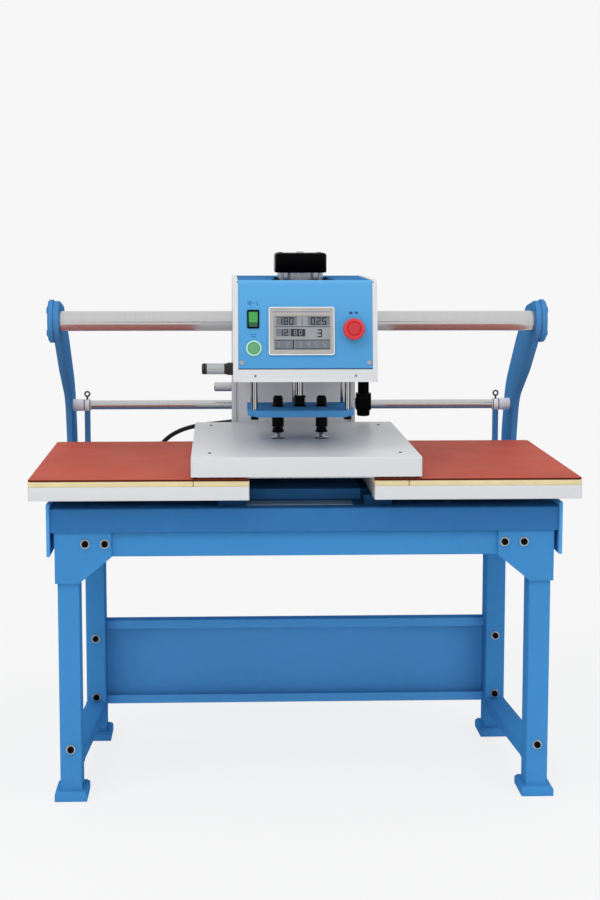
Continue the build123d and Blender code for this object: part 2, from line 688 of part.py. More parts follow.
# Arms: swan-neck plates bolted outside the deck ends, with a boss for the rail
ARM_OUTLINE = (
    (ARM_FOOT_FRONT, ARM_BOTTOM),
    *[(ARM_REAR - reach, height) for reach, height, radius in ARM_FRONT_BENDS],
    (RAIL_Y + TOUCH_GAP, RAIL_HEIGHT - ARM_BOSS_RADIUS),
    (RAIL_Y, RAIL_HEIGHT + ARM_BOSS_RADIUS),
    *[(ARM_REAR - reach, height) for reach, height, radius in ARM_REAR_BENDS],
    (ARM_REAR, ARM_BOTTOM),
)
for side in (-1, 1):
    with BuildPart() as arm:
        with BuildSketch(Plane.YZ.offset(side * ARM_INNER_X)):
            with BuildLine():
                Polyline(list(ARM_OUTLINE), close=True)
            make_face()
            for reach, height, radius in ARM_FRONT_BENDS + ARM_REAR_BENDS:
                corner = [v for v in vertices() if abs(v.Y - height) < HOLE_GAP]
                fillet(corner, radius)
            with Locations((RAIL_Y, RAIL_HEIGHT)):
                Circle(ARM_BOSS_RADIUS)
                Circle(RAIL_DIAMETER / 2 + RUNNING_GAP, mode=Mode.SUBTRACT)
        extrude(amount=side * ARM_THICKNESS)
        add(holes_at(CAP_BOLTS, CAP_GRIP), mode=Mode.SUBTRACT)
        add(holes_at(ARM_BOLTS, ARM_GRIP), mode=Mode.SUBTRACT)
    save(arm, f"arm_{side_name(side)}")

with BuildPart() as arm_caps:
    for side in (-1, 1):
        with BuildSketch(Plane.YZ.offset(side * ARM_OUTER_X)):
            with Locations((RAIL_Y, RAIL_HEIGHT)):
                Circle(CAP_RADIUS)
        disc = extrude(amount=side * CAP_THICKNESS)
        chamfer(disc.edges().filter_by(GeomType.CIRCLE).sort_by(Axis.X)[0 if side < 0 else -1], CAP_EDGE)
    add(holes_at(CAP_BOLTS, CAP_GRIP), mode=Mode.SUBTRACT)
save(arm_caps, "arm_caps")

# Bolts of the stand, as one group
with BuildPart() as stand_bolts:
    for planes, grip in (
        (GUSSET_BOLTS, GUSSET_GRIP),
        (FRONT_BOLTS, FRONT_GRIP),
        (PANEL_BOLTS, PANEL_GRIP),
        (ARM_BOLTS, ARM_GRIP),
        (CAP_BOLTS, CAP_GRIP),
    ):
        for plane in planes:
            add(bolt_at(plane, grip))
save(stand_bolts, "stand_bolts")

# Rails that the head slides on
with BuildPart() as main_rail:
    with BuildSketch(Plane.YZ.offset(-ARM_OUTER_X)):
        with Locations((RAIL_Y, RAIL_HEIGHT)):
            Circle(RAIL_DIAMETER / 2)
    extrude(amount=2 * ARM_OUTER_X)
save(main_rail, "main_rail")

with BuildPart() as guide_rod:
    with BuildSketch(Plane.YZ.offset(-ARM_INNER_X)):
        with Locations((GUIDE_ROD_Y, GUIDE_ROD_HEIGHT)):
            Circle(GUIDE_ROD_DIAMETER / 2)
    extrude(amount=2 * ARM_INNER_X)
save(guide_rod, "guide_rod")

with BuildPart() as rod_spacers:
    for side in (-1, 1):
        with BuildSketch(Plane.YZ.offset(side * SPACER_INNER_X)):
            with Locations((GUIDE_ROD_Y, GUIDE_ROD_HEIGHT)):
                Circle(SPACER_RADIUS)
                Circle(GUIDE_ROD_DIAMETER / 2 + RUNNING_GAP, mode=Mode.SUBTRACT)
        extrude(amount=side * (ARM_INNER_X - SPACER_INNER_X))
save(rod_spacers, "rod_spacers")

# Rod supports: a split collar on a thin post, and the stop for the head
COLLAR_TOP = GUIDE_ROD_HEIGHT + COLLAR_RADIUS
with BuildPart() as rod_supports:
    for side in (-1, 1):
        with BuildSketch(Plane.YZ.offset(side * COLLAR_INNER_X)):
            with Locations((GUIDE_ROD_Y, GUIDE_ROD_HEIGHT)):
                Circle(COLLAR_RADIUS)
        extrude(amount=side * COLLAR_WIDTH)
        with BuildSketch(Plane.XY.offset(DECK_TOP)):
            with Locations((side * COLLAR_X, GUIDE_ROD_Y)):
                Rectangle(POST_WIDTH, POST_DEPTH)
        extrude(amount=GUIDE_ROD_HEIGHT - DECK_TOP)
        with BuildSketch(Plane.XY.offset(DECK_TOP)):
            with Locations((side * COLLAR_X, GUIDE_ROD_Y)):
                Rectangle(COLLAR_WIDTH, POST_FOOT)
        extrude(amount=POST_FOOT_THICKNESS)
        with BuildSketch(Plane.YZ.offset(side * COLLAR_INNER_X)):
            with Locations((GUIDE_ROD_Y, GUIDE_ROD_HEIGHT)):
                Circle(GUIDE_ROD_DIAMETER / 2 + RUNNING_GAP)
        extrude(amount=side * COLLAR_WIDTH, mode=Mode.SUBTRACT)
        add(holes_at([facing_up(side * COLLAR_X, GUIDE_ROD_Y, COLLAR_TOP)], COLLAR_RADIUS, EYE_SHANK_RADIUS + RUNNING_GAP), mode=Mode.SUBTRACT)
save(rod_supports, "rod_supports")

EYE_CENTRE_HEIGHT = COLLAR_TOP + EYE_SHANK_SHOWN + EYE_RING_RADIUS
EYE_TIP_HEIGHT = GUIDE_ROD_HEIGHT + GUIDE_ROD_DIAMETER / 2 + TOUCH_GAP
for side in (-1, 1):
    with BuildPart() as eye_screw:
        with BuildSketch(Plane.XY.offset(EYE_TIP_HEIGHT)):
            with Locations((side * COLLAR_X, GUIDE_ROD_Y)):
                Circle(EYE_SHANK_RADIUS)
        extrude(amount=COLLAR_TOP + EYE_SHANK_SHOWN - EYE_TIP_HEIGHT)
        with Locations(Location((side * COLLAR_X, GUIDE_ROD_Y, EYE_CENTRE_HEIGHT), (90, 0, 0))):
            Torus(EYE_RING_RADIUS, EYE_WIRE_RADIUS)
    save(eye_screw, f"eye_screw_{side_name(side)}")

# Side plates of the sliding head: a box in front on a column behind
SIDE_OUTLINE = (
    (HEAD_FRONT, HEAD_BOTTOM),
    (HEAD_FRONT, SLOPE_BOTTOM),
    (HEAD_FRONT + PANEL_LEAN, HEAD_TOP),
    (TOP_REAR, HEAD_TOP),
    (COLUMN_REAR, COLUMN_SHOULDER),
    (COLUMN_REAR, COLUMN_BOTTOM),
    (COLUMN_FRONT, COLUMN_BOTTOM),
    (COLUMN_FRONT, HEAD_BOTTOM),
)
RAIL_HOLE_RADIUS = RAIL_DIAMETER / 2 + 4 * HOLE_GAP
for side in (-1, 1):
    with BuildPart() as side_plate:
        with BuildSketch(Plane.YZ.offset(side * HEAD_INNER)):
            with BuildLine():
                Polyline(list(SIDE_OUTLINE), close=True)
            make_face()
            inner = vertices().sort_by_distance((COLUMN_FRONT, HEAD_BOTTOM))[0]
            fillet(inner, HEAD_INNER_CORNER)
            top_corners = vertices().sort_by(Axis.Y)[-2:]
            shoulder = vertices().sort_by_distance((COLUMN_REAR, COLUMN_SHOULDER))[0]
            fillet([*top_corners, shoulder], HEAD_OUTER_CORNER)
            with Locations((RAIL_Y, RAIL_HEIGHT)):
                Circle(RAIL_HOLE_RADIUS, mode=Mode.SUBTRACT)
            with Locations((GUIDE_ROD_Y, GUIDE_ROD_HEIGHT)):
                Circle(ROD_BUSH_DIAMETER / 2, mode=Mode.SUBTRACT)
        extrude(amount=side * SIDE_PLATE)
    save(side_plate, f"side_plate_{side_name(side)}")

# Base plate with the white bar folded up in front
GUIDE_PLACES = [
    (side_x * GUIDE_SPACING_X / 2, RAM_Y + side_y * GUIDE_SPACING_Y / 2)
    for side_x in (-1, 1)
    for side_y in (-1, 1)
]
SENSOR_ROD_PLACE = (SENSOR_ROD_X, RAM_Y + SENSOR_ROD_SETBACK)
COLUMN_PANEL_FRONT = COLUMN_FRONT + COLUMN_PANEL_RECESS
BAR_SCREWS = [facing_front(side * BAR_SCREW_X, HEAD_FRONT, HEAD_BOTTOM + FRONT_BAR_HEIGHT / 2) for side in (-1, 1)]
with BuildPart() as base_plate:
    with BuildSketch(Plane.XY.offset(BASE_PLATE_BOTTOM)):
        with Locations((0, (HEAD_FRONT + COLUMN_PANEL_FRONT) / 2)):
            Rectangle(2 * HEAD_INNER, COLUMN_PANEL_FRONT - HEAD_FRONT)
        with Locations(*GUIDE_PLACES):
            Circle(GUIDE_BUSH_RADIUS, mode=Mode.SUBTRACT)
        with Locations((0, RAM_Y)):
            Circle(PISTON_ROD_RADIUS + HOLE_GAP, mode=Mode.SUBTRACT)
        with Locations(SENSOR_ROD_PLACE):
            Circle(SENSOR_ROD_RADIUS + HOLE_GAP, mode=Mode.SUBTRACT)
    extrude(amount=BASE_PLATE)
    with BuildSketch(Plane.XZ.offset(-HEAD_FRONT)):
        with Locations((0, HEAD_BOTTOM + FRONT_BAR_HEIGHT / 2)):
            Rectangle(2 * HEAD_INNER, FRONT_BAR_HEIGHT)
    extrude(amount=-HEAD_SHEET)
    add(holes_at(BAR_SCREWS, HEAD_SHEET + SMALL_HEAD_RADIUS, SMALL_SCREW_RADIUS + SCREW_GAP), mode=Mode.SUBTRACT)
save(base_plate, "base_plate")

# Column panel and the bent back cover
with BuildPart() as column_panel:
    with BuildSketch(Plane.XZ.offset(-COLUMN_PANEL_FRONT)):
        with Locations((0, (COLUMN_BOTTOM + BASE_PLATE_TOP) / 2)):
            Rectangle(2 * HEAD_INNER, BASE_PLATE_TOP - COLUMN_BOTTOM)
    extrude(amount=-HEAD_SHEET)
save(column_panel, "column_panel")

with BuildPart() as back_cover:
    with BuildSketch(Plane.YZ.offset(-HEAD_INNER)):
        with BuildLine():
            Polyline(
                (TOP_REAR, HEAD_TOP - 2 * HEAD_SHEET),
                (COLUMN_REAR - 2 * HEAD_SHEET, COLUMN_SHOULDER - HEAD_SHEET),
                (COLUMN_REAR - 2 * HEAD_SHEET, COLUMN_BOTTOM),
                (COLUMN_REAR - HEAD_SHEET, COLUMN_BOTTOM),
                (COLUMN_REAR - HEAD_SHEET, COLUMN_SHOULDER - HEAD_SHEET / 2),
                (TOP_REAR, HEAD_TOP - HEAD_SHEET),
                close=True,
            )
        make_face()
    extrude(amount=2 * HEAD_INNER)
save(back_cover, "back_cover")

# Top cover with the opening that the cylinder stands in
CYLINDER_FRONT = RAM_Y - CYLINDER_WIDTH / 2
CYLINDER_REAR = RAM_Y + CYLINDER_WIDTH / 2
TOP_FRONT = HEAD_FRONT + PANEL_LEAN + PANEL_RECESS + HEAD_SHEET
with BuildPart() as top_cover:
    with BuildSketch(Plane.XY.offset(HEAD_TOP - HEAD_SHEET - PANEL_RECESS)):
        with Locations((0, (TOP_FRONT + TOP_REAR) / 2)):
            Rectangle(2 * HEAD_INNER, TOP_REAR - TOP_FRONT)
        with BuildLine():
            Polyline(
                (-OPENING_FRONT_WIDTH / 2, TOP_FRONT + OPENING_MARGIN),
                (OPENING_FRONT_WIDTH / 2, TOP_FRONT + OPENING_MARGIN),
                (OPENING_REAR_WIDTH / 2, CYLINDER_FRONT),
                (OPENING_REAR_WIDTH / 2, CYLINDER_REAR + OPENING_MARGIN),
                (-OPENING_REAR_WIDTH / 2, CYLINDER_REAR + OPENING_MARGIN),
                (-OPENING_REAR_WIDTH / 2, CYLINDER_FRONT),
                close=True,
            )
        make_face(mode=Mode.SUBTRACT)
    extrude(amount=HEAD_SHEET)
save(top_cover, "top_cover")

# Control panel, with an opening for each fitting
PANEL_SCREWS = [
    PANEL_FACE.shift_origin(PANEL_FACE.from_local_coords((side * PANEL_SCREW_X, PANEL_SCREW_UP, 0)))
    for side in (-1, 1)
]
START_HOLE_RADIUS = START_BUTTON_RADIUS + TOUCH_GAP
with BuildPart() as control_panel:
    with BuildSketch(PANEL_FACE):
        with Locations((0, (PANEL_LENGTH + PANEL_RECESS) / 2)):
            Rectangle(2 * HEAD_INNER, PANEL_LENGTH - PANEL_RECESS)
        with Locations(ROCKER_CENTRE):
            Rectangle(ROCKER_KEY[0] + 4 * TOUCH_GAP, ROCKER_KEY[1] + 8 * TOUCH_GAP, mode=Mode.SUBTRACT)
        with Locations(START_CENTRE):
            Circle(START_HOLE_RADIUS, mode=Mode.SUBTRACT)
        with Locations(ESTOP_CENTRE):
            Circle(ESTOP_STEM_RADIUS + TOUCH_GAP, mode=Mode.SUBTRACT)
        with Locations(SCREEN_CENTRE):
            Rectangle(*SCREEN_GLASS, mode=Mode.SUBTRACT)
    extrude(amount=-HEAD_SHEET)
    add(holes_at(PANEL_SCREWS, HEAD_SHEET, SMALL_SCREW_RADIUS + SCREW_GAP), mode=Mode.SUBTRACT)
save(control_panel, "control_panel")

with BuildPart() as panel_screws:
    for plane in PANEL_SCREWS + BAR_SCREWS:
        add(small_screw_at(plane, HEAD_SHEET + SMALL_HEAD_HEIGHT))
save(panel_screws, "panel_screws")

# Display: a raised bezel around a recessed glass
with BuildPart() as display_bezel:
    with BuildSketch(PANEL_FACE):
        with Locations(SCREEN_CENTRE):
            RectangleRounded(*SCREEN_BEZEL, SMALL_HEAD_RADIUS)
    bezel = extrude(amount=SCREEN_RAISE)
    chamfer(bezel.faces().sort_by(Axis.Y)[0].edges(), SCREEN_RAISE / 3)
    with BuildSketch(PANEL_FACE.offset(SCREEN_RAISE)):
        with Locations(SCREEN_CENTRE):
            Rectangle(*SCREEN_GLASS)
    extrude(amount=-SCREEN_RAISE / 2, mode=Mode.SUBTRACT)
save(display_bezel, "display_bezel")

# Rocker switch: a frame on the panel and a tilting key
ROCKER_WINDOW = (ROCKER_KEY[0] + 2 * TOUCH_GAP, ROCKER_KEY[1] + 4 * TOUCH_GAP)
with BuildPart() as rocker_frame:
    with BuildSketch(PANEL_FACE):
        with Locations(ROCKER_CENTRE):
            RectangleRounded(*ROCKER_FRAME, SMALL_SCREW_RADIUS)
            Rectangle(*ROCKER_WINDOW, mode=Mode.SUBTRACT)
    extrude(amount=SMALL_SCREW_RADIUS)
save(rocker_frame, "rocker_frame")

rocker_axle = PANEL_FACE.from_local_coords((ROCKER_CENTRE[0], ROCKER_CENTRE[1], -ROCKER_AXLE_DROP))
ROCKER_PROFILE_PLANE = Plane(
    origin=rocker_axle,
    x_dir=PANEL_FACE.y_dir.rotate(Axis.X, ROCKER_TILT),
    z_dir=(-1, 0, 0),
)
with BuildPart() as rocker:
    with BuildSketch(ROCKER_PROFILE_PLANE.offset(-ROCKER_KEY[0] / 2)):
        with BuildLine():
            Polyline(
                (-ROCKER_KEY[1] / 2, -ROCKER_ROOT),
                (-ROCKER_KEY[1] / 2, ROCKER_END_RISE),
                (0, ROCKER_WAIST_RISE),
                (ROCKER_KEY[1] / 2, ROCKER_END_RISE),
                (ROCKER_KEY[1] / 2, -ROCKER_ROOT),
                close=True,
            )
        make_face()
    extrude(amount=ROCKER_KEY[0])
save(rocker, "rocker")

# Start button in its ring
with BuildPart() as button_bezel:
    with BuildSketch(PANEL_FACE):
        with Locations(START_CENTRE):
            Circle(START_BEZEL_RADIUS)
            Circle(START_HOLE_RADIUS, mode=Mode.SUBTRACT)
    ring = extrude(amount=START_TRAVEL + HOLE_GAP)
    chamfer(ring.edges().filter_by(GeomType.CIRCLE).sort_by(SortBy.RADIUS)[-1:], HOLE_GAP)
save(button_bezel, "button_bezel")

with BuildPart() as start_button:
    with BuildSketch(PANEL_FACE.offset(START_TRAVEL + 2 * HOLE_GAP)):
        with Locations(START_CENTRE):
            Circle(START_BUTTON_RADIUS)
    extrude(amount=-BUTTON_DEPTH)
save(start_button, "start_button")

# Emergency stop: fixed collar, sliding stem and a mushroom that twists on it
ESTOP_HEAD_RAISE = ESTOP_COLLAR_HEIGHT + ESTOP_TRAVEL + 2 * HOLE_GAP
ESTOP_SOCKET = ESTOP_HEAD_HEIGHT / 2
with BuildPart() as estop_collar:
    with BuildSketch(PANEL_FACE):
        with Locations(ESTOP_CENTRE):
            Circle(ESTOP_COLLAR_RADIUS)
            Circle(ESTOP_STEM_RADIUS + TOUCH_GAP, mode=Mode.SUBTRACT)
    extrude(amount=ESTOP_COLLAR_HEIGHT)
save(estop_collar, "estop_collar")

with BuildPart() as estop_stem:
    with BuildSketch(PANEL_FACE.offset(ESTOP_HEAD_RAISE)):
        with Locations(ESTOP_CENTRE):
            Circle(ESTOP_STEM_RADIUS)
    extrude(amount=-(BUTTON_DEPTH + ESTOP_HEAD_RAISE))
    with BuildSketch(PANEL_FACE.offset(ESTOP_HEAD_RAISE)):
        with Locations(ESTOP_CENTRE):
            Circle(ESTOP_STEM_RADIUS / 2)
    extrude(amount=ESTOP_SOCKET - TOUCH_GAP)
save(estop_stem, "estop_stem")

with BuildPart() as estop_head:
    with BuildSketch(PANEL_FACE.offset(ESTOP_HEAD_RAISE + RUNNING_GAP)):
        with Locations(ESTOP_CENTRE):
            Circle(ESTOP_HEAD_RADIUS)
    mushroom = extrude(amount=ESTOP_HEAD_HEIGHT)
    fillet(mushroom.edges().filter_by(GeomType.CIRCLE).sort_by(Axis.Y)[0], ESTOP_HEAD_HEIGHT / 3)
    with BuildSketch(PANEL_FACE.offset(ESTOP_HEAD_RAISE + RUNNING_GAP)):
        with Locations(ESTOP_CENTRE):
            Circle(ESTOP_STEM_RADIUS / 2 + RUNNING_GAP)
    extrude(amount=ESTOP_SOCKET, mode=Mode.SUBTRACT)
save(estop_head, "estop_head")

# Cylinder: square foot, round barrel, tie rods and the black end cap
with BuildPart() as cylinder_barrel:
    with BuildSketch(Plane.XY.offset(BASE_PLATE_TOP)):
        with Locations((0, RAM_Y)):
            RectangleRounded(CYLINDER_WIDTH, CYLINDER_WIDTH, BEARING_CORNER)
    extrude(amount=CYLINDER_FOOT)
    with BuildSketch(Plane.XY.offset(BASE_PLATE_TOP + CYLINDER_FOOT)):
        with Locations((0, RAM_Y)):
            Circle(BARREL_RADIUS)
    extrude(amount=CYLINDER_TOP - BASE_PLATE_TOP - CYLINDER_FOOT)
    with BuildSketch(Plane.XY.offset(BASE_PLATE_TOP + CYLINDER_FOOT)):
        with Locations((0, RAM_Y)):
            Circle(BARREL_BORE)
    extrude(amount=CYLINDER_TOP - BASE_PLATE_TOP - CYLINDER_FOOT, mode=Mode.SUBTRACT)
    with BuildSketch(Plane.XY.offset(BASE_PLATE_TOP)):
        with Locations((0, RAM_Y)):
            Circle(PISTON_ROD_RADIUS + RUNNING_GAP)
    extrude(amount=CYLINDER_FOOT, mode=Mode.SUBTRACT)
    with BuildSketch(Plane.XY.offset(BASE_PLATE_TOP + CYLINDER_FOOT)):
        with Locations((0, RAM_Y)):
            with GridLocations(TIE_ROD_GRID_WIDTH, TIE_ROD_GRID_WIDTH, 2, 2):
                Circle(TIE_ROD_RADIUS)
    extrude(amount=CYLINDER_TOP - BASE_PLATE_TOP - CYLINDER_FOOT)
save(cylinder_barrel, "cylinder_barrel")

with BuildPart() as cylinder_cap:
    with BuildSketch(Plane.XY.offset(CYLINDER_TOP)):
        with Locations((0, RAM_Y)):
            RectangleRounded(CAP_WIDTH, CAP_WIDTH, CAP_ROUND)
    cap_block = extrude(amount=CAP_HEIGHT)
    fillet(cap_block.edges().group_by(Axis.Z)[-1], CAP_EDGE)
    fillet(cap_block.edges().group_by(Axis.Z)[0], CAP_EDGE / 2)
save(cylinder_cap, "cylinder_cap")

# Bearings of the main rail and bushes of the guide rod
with BuildPart() as rail_bearings:
    for side in (-1, 1):
        with BuildSketch(Plane.YZ.offset(side * HEAD_INNER)):
            with Locations((RAIL_Y, RAIL_HEIGHT)):
                RectangleRounded(BEARING_WIDTH, BEARING_WIDTH, BEARING_CORNER)
                Circle(RAIL_DIAMETER / 2 + RUNNING_GAP, mode=Mode.SUBTRACT)
        extrude(amount=-side * BEARING_LENGTH)
save(rail_bearings, "rail_bearings")

with BuildPart() as rod_bushes:
    for side in (-1, 1):
        with BuildSketch(Plane.YZ.offset(side * HEAD_HALF)):
            with Locations((GUIDE_ROD_Y, GUIDE_ROD_HEIGHT)):
                Circle(ROD_BUSH_DIAMETER / 2 - RUNNING_GAP)
                Circle(GUIDE_ROD_DIAMETER / 2 + RUNNING_GAP, mode=Mode.SUBTRACT)
        extrude(amount=-side * ROD_BUSH_LENGTH)
        with BuildSketch(Plane.YZ.offset(side * HEAD_INNER)):
            with Locations((GUIDE_ROD_Y, GUIDE_ROD_HEIGHT)):
                Circle(ROD_BUSH_DIAMETER / 2 + SMALL_HEAD_RADIUS)
                Circle(GUIDE_ROD_DIAMETER / 2 + RUNNING_GAP, mode=Mode.SUBTRACT)
        extrude(amount=-side * SMALL_HEAD_RADIUS)
save(rod_bushes, "rod_bushes")

with BuildPart() as guide_bushes:
    with BuildSketch(Plane.XY.offset(BASE_PLATE_BOTTOM - GUIDE_BUSH_DROP)):
        with Locations(*GUIDE_PLACES):
            Circle(GUIDE_BUSH_RADIUS - RUNNING_GAP)
            Circle(GUIDE_DIAMETER / 2 + RUNNING_GAP, mode=Mode.SUBTRACT)
    extrude(amount=GUIDE_BUSH_DROP + BASE_PLATE)
save(guide_bushes, "guide_bushes")

# Side handle on the left, an end stop pin below it and the regulator on the right
with BuildPart() as side_handle:
    handle_plane = facing_side(-1, -HEAD_HALF, FRONT + HANDLE_SETBACK, HANDLE_HEIGHT)
    with BuildSketch(handle_plane):
        Circle(HANDLE_FLANGE_RADIUS)
    extrude(amount=HANDLE_FLANGE)
    with BuildSketch(handle_plane.offset(HANDLE_FLANGE)):
        Circle(HANDLE_RADIUS)
    extrude(amount=HANDLE_LENGTH - HANDLE_FLANGE)
    chamfer(side_handle.edges().sort_by(Axis.X)[0], SMALL_SCREW_RADIUS)
save(side_handle, "side_handle")

with BuildPart() as end_stop_pin:
    with BuildSketch(facing_side(-1, -HEAD_HALF, FRONT + PIN_SETBACK, PIN_HEIGHT)):
        Circle(PIN_RADIUS)
    pin = extrude(amount=PIN_LENGTH)
    chamfer(pin.edges().sort_by(Axis.X)[0], SMALL_SCREW_RADIUS)
save(end_stop_pin, "end_stop_pin")

REGULATOR_X = HEAD_HALF + REGULATOR_STANDOFF + REGULATOR_WIDTH / 2
REGULATOR_Y = FRONT + REGULATOR_SETBACK
REGULATOR_TOP = REGULATOR_BOTTOM + REGULATOR_HEIGHT
with BuildPart() as regulator_body:
    with BuildSketch(Plane.XY.offset(REGULATOR_BOTTOM)):
        with Locations((REGULATOR_X, REGULATOR_Y)):
            RectangleRounded(REGULATOR_WIDTH, REGULATOR_DEPTH, SMALL_HEAD_RADIUS)
    extrude(amount=REGULATOR_HEIGHT)
    with BuildSketch(Plane.XY.offset(REGULATOR_BOTTOM)):
        with Locations((REGULATOR_X, REGULATOR_Y)):
            Circle(BOWL_RADIUS)
    bowl = extrude(amount=-BOWL_HEIGHT)
    fillet(bowl.edges().group_by(Axis.Z)[0], SMALL_HEAD_RADIUS)
    port_height = REGULATOR_BOTTOM + REGULATOR_HEIGHT / 2
    with BuildSketch(Plane.YZ.offset(HEAD_HALF)):
        with Locations((REGULATOR_Y, port_height)):
            Circle(PORT_RADIUS)
    extrude(amount=REGULATOR_STANDOFF)
    inlet = Plane(
        origin=(REGULATOR_X, REGULATOR_Y + REGULATOR_DEPTH / 2, REGULATOR_TOP - INLET_DROP),
        x_dir=(-1, 0, 0),
        z_dir=(0, 1, 0),
    )
    add(holes_at([inlet], INLET_DEPTH, INLET_RADIUS), mode=Mode.SUBTRACT)
save(regulator_body, "regulator_body")

with BuildPart() as regulator_knob:
    with BuildSketch(Plane.XY.offset(REGULATOR_TOP + TOUCH_GAP)):
        with Locations((REGULATOR_X, REGULATOR_Y)):
            Circle(KNOB_RADIUS)
            with PolarLocations(KNOB_RADIUS, KNOB_GROOVES):
                Circle(EYE_WIRE_RADIUS, mode=Mode.SUBTRACT)
    knob = extrude(amount=KNOB_HEIGHT)
save(regulator_knob, "regulator_knob")

# Pressing head: piston rod and piston, guide rods, cross plate
PISTON_BOTTOM = BASE_PLATE_TOP + CYLINDER_FOOT + PISTON_LIFT
with BuildPart() as piston_rod:
    with BuildSketch(Plane.XY.offset(CROSS_PLATE_TOP)):
        with Locations((0, RAM_Y)):
            Circle(PISTON_ROD_RADIUS)
    extrude(amount=PISTON_BOTTOM - CROSS_PLATE_TOP)
    with BuildSketch(Plane.XY.offset(PISTON_BOTTOM)):
        with Locations((0, RAM_Y)):
            Circle(BARREL_BORE - RUNNING_GAP)
    extrude(amount=PISTON_HEIGHT)
save(piston_rod, "piston_rod")

GUIDE_TOP = BASE_PLATE_TOP + GUIDE_TOP_SHOWN
with BuildPart() as guide_rods:
    with BuildSketch(Plane.XY.offset(CROSS_PLATE_TOP)):
        with Locations(*GUIDE_PLACES):
            Circle(GUIDE_DIAMETER / 2)
        with Locations(SENSOR_ROD_PLACE):
            Circle(SENSOR_ROD_RADIUS)
    extrude(amount=GUIDE_TOP - CROSS_PLATE_TOP)
save(guide_rods, "guide_rods")

STUD_PLACES = [(side * STUD_SPACING / 2, RAM_Y) for side in (-1, 1)]
cross_front = RAM_Y - CROSS_PLATE_DEPTH / 2
cross_rear = RAM_Y + CROSS_PLATE_DEPTH / 2
cross_half = CROSS_PLATE_WIDTH / 2
with BuildPart() as cross_plate:
    with BuildSketch(Plane.XY.offset(CROSS_PLATE_BOTTOM)):
        with BuildLine():
            Polyline(
                (-cross_half, cross_rear),
                (-cross_half, cross_front + CROSS_PLATE_CUT_Y),
                (-cross_half + CROSS_PLATE_CUT_X, cross_front),
                (cross_half - CROSS_PLATE_CUT_X, cross_front),
                (cross_half, cross_front + CROSS_PLATE_CUT_Y),
                (cross_half, cross_rear),
                close=True,
            )
        make_face()
        with Locations(*STUD_PLACES):
            Circle(STUD_RADIUS + SCREW_GAP, mode=Mode.SUBTRACT)
    extrude(amount=CROSS_PLATE_THICKNESS)
save(cross_plate, "cross_plate")

# Black nuts and bolt heads of the pressing head
with BuildPart() as head_nuts:
    with BuildSketch(Plane.XY.offset(CROSS_PLATE_TOP)):
        with Locations((0, RAM_Y)):
            Circle(NUT_RADIUS)
            Circle(PISTON_ROD_RADIUS + RUNNING_GAP, mode=Mode.SUBTRACT)
        with Locations(*STUD_PLACES):
            Circle(NUT_RADIUS)
            Circle(STUD_RADIUS + SCREW_GAP, mode=Mode.SUBTRACT)
    extrude(amount=UPPER_NUT_HEIGHT)
    with BuildSketch(Plane.XY.offset(CROSS_PLATE_BOTTOM)):
        with Locations(*STUD_PLACES):
            Circle(NUT_RADIUS)
            Circle(STUD_RADIUS + SCREW_GAP, mode=Mode.SUBTRACT)
    extrude(amount=-LOWER_NUT_HEIGHT)
    with BuildSketch(Plane.XY.offset(FLANGE_NUT_BOTTOM)):
        with Locations(*STUD_PLACES):
            Circle(NUT_RADIUS)
            Circle(STUD_RADIUS + SCREW_GAP, mode=Mode.SUBTRACT)
    extrude(amount=FLANGE_NUT_HEIGHT)
    with BuildSketch(Plane.XY.offset(CROSS_PLATE_BOTTOM)):
        with Locations(*GUIDE_PLACES):
            Circle(HEAD_BOLT_RADIUS)
        with Locations((0, RAM_Y)):
            Circle(NUT_RADIUS)
    extrude(amount=-HEAD_BOLT_HEIGHT)
save(head_nuts, "head_nuts")

# Suspension studs with a ring where each meets the cover
with BuildPart() as suspension_studs:
    with BuildSketch(Plane.XY.offset(PLATE_TOP)):
        with Locations(*STUD_PLACES):
            Circle(STUD_RADIUS)
    extrude(amount=CROSS_PLATE_TOP + UPPER_NUT_HEIGHT - SCREW_GAP - PLATE_TOP)
    with BuildSketch(Plane.XY.offset(COVER_TOP)):
        with Locations(*STUD_PLACES):
            Circle(RING_RADIUS)
    extrude(amount=RING_HEIGHT)
save(suspension_studs, "suspension_studs")

# Heating plate with standoffs for the cover
COVER_SCREW_PLACES = [
    (side_x * COVER_SCREW_SPACING_X / 2, COVER_Y + side_y * COVER_SCREW_SPACING_Y / 2)
    for side_x in (-1, 1)
    for side_y in (-1, 1)
]
COVER_SCREWS = [facing_up(x, y, COVER_TOP) for x, y in COVER_SCREW_PLACES]
with BuildPart() as heating_plate:
    with BuildSketch(Plane.XY.offset(PLATE_BOTTOM)):
        with Locations((0, COVER_Y)):
            RectangleRounded(PLATEN_WIDTH, PLATEN_DEPTH, PLATEN_CORNER)
    slab = extrude(amount=PLATE_THICKNESS)
    chamfer(slab.edges().group_by(Axis.Z)[0], PLATE_EDGE)
    with BuildSketch(Plane.XY.offset(PLATE_TOP)):
        with Locations(*COVER_SCREW_PLACES):
            Circle(STANDOFF_RADIUS)
    extrude(amount=COVER_UNDERSIDE - PLATE_TOP)
    add(holes_at(COVER_SCREWS, COVER_TOP - PLATE_TOP, SMALL_SCREW_RADIUS + SCREW_GAP), mode=Mode.SUBTRACT)
save(heating_plate, "heating_plate")

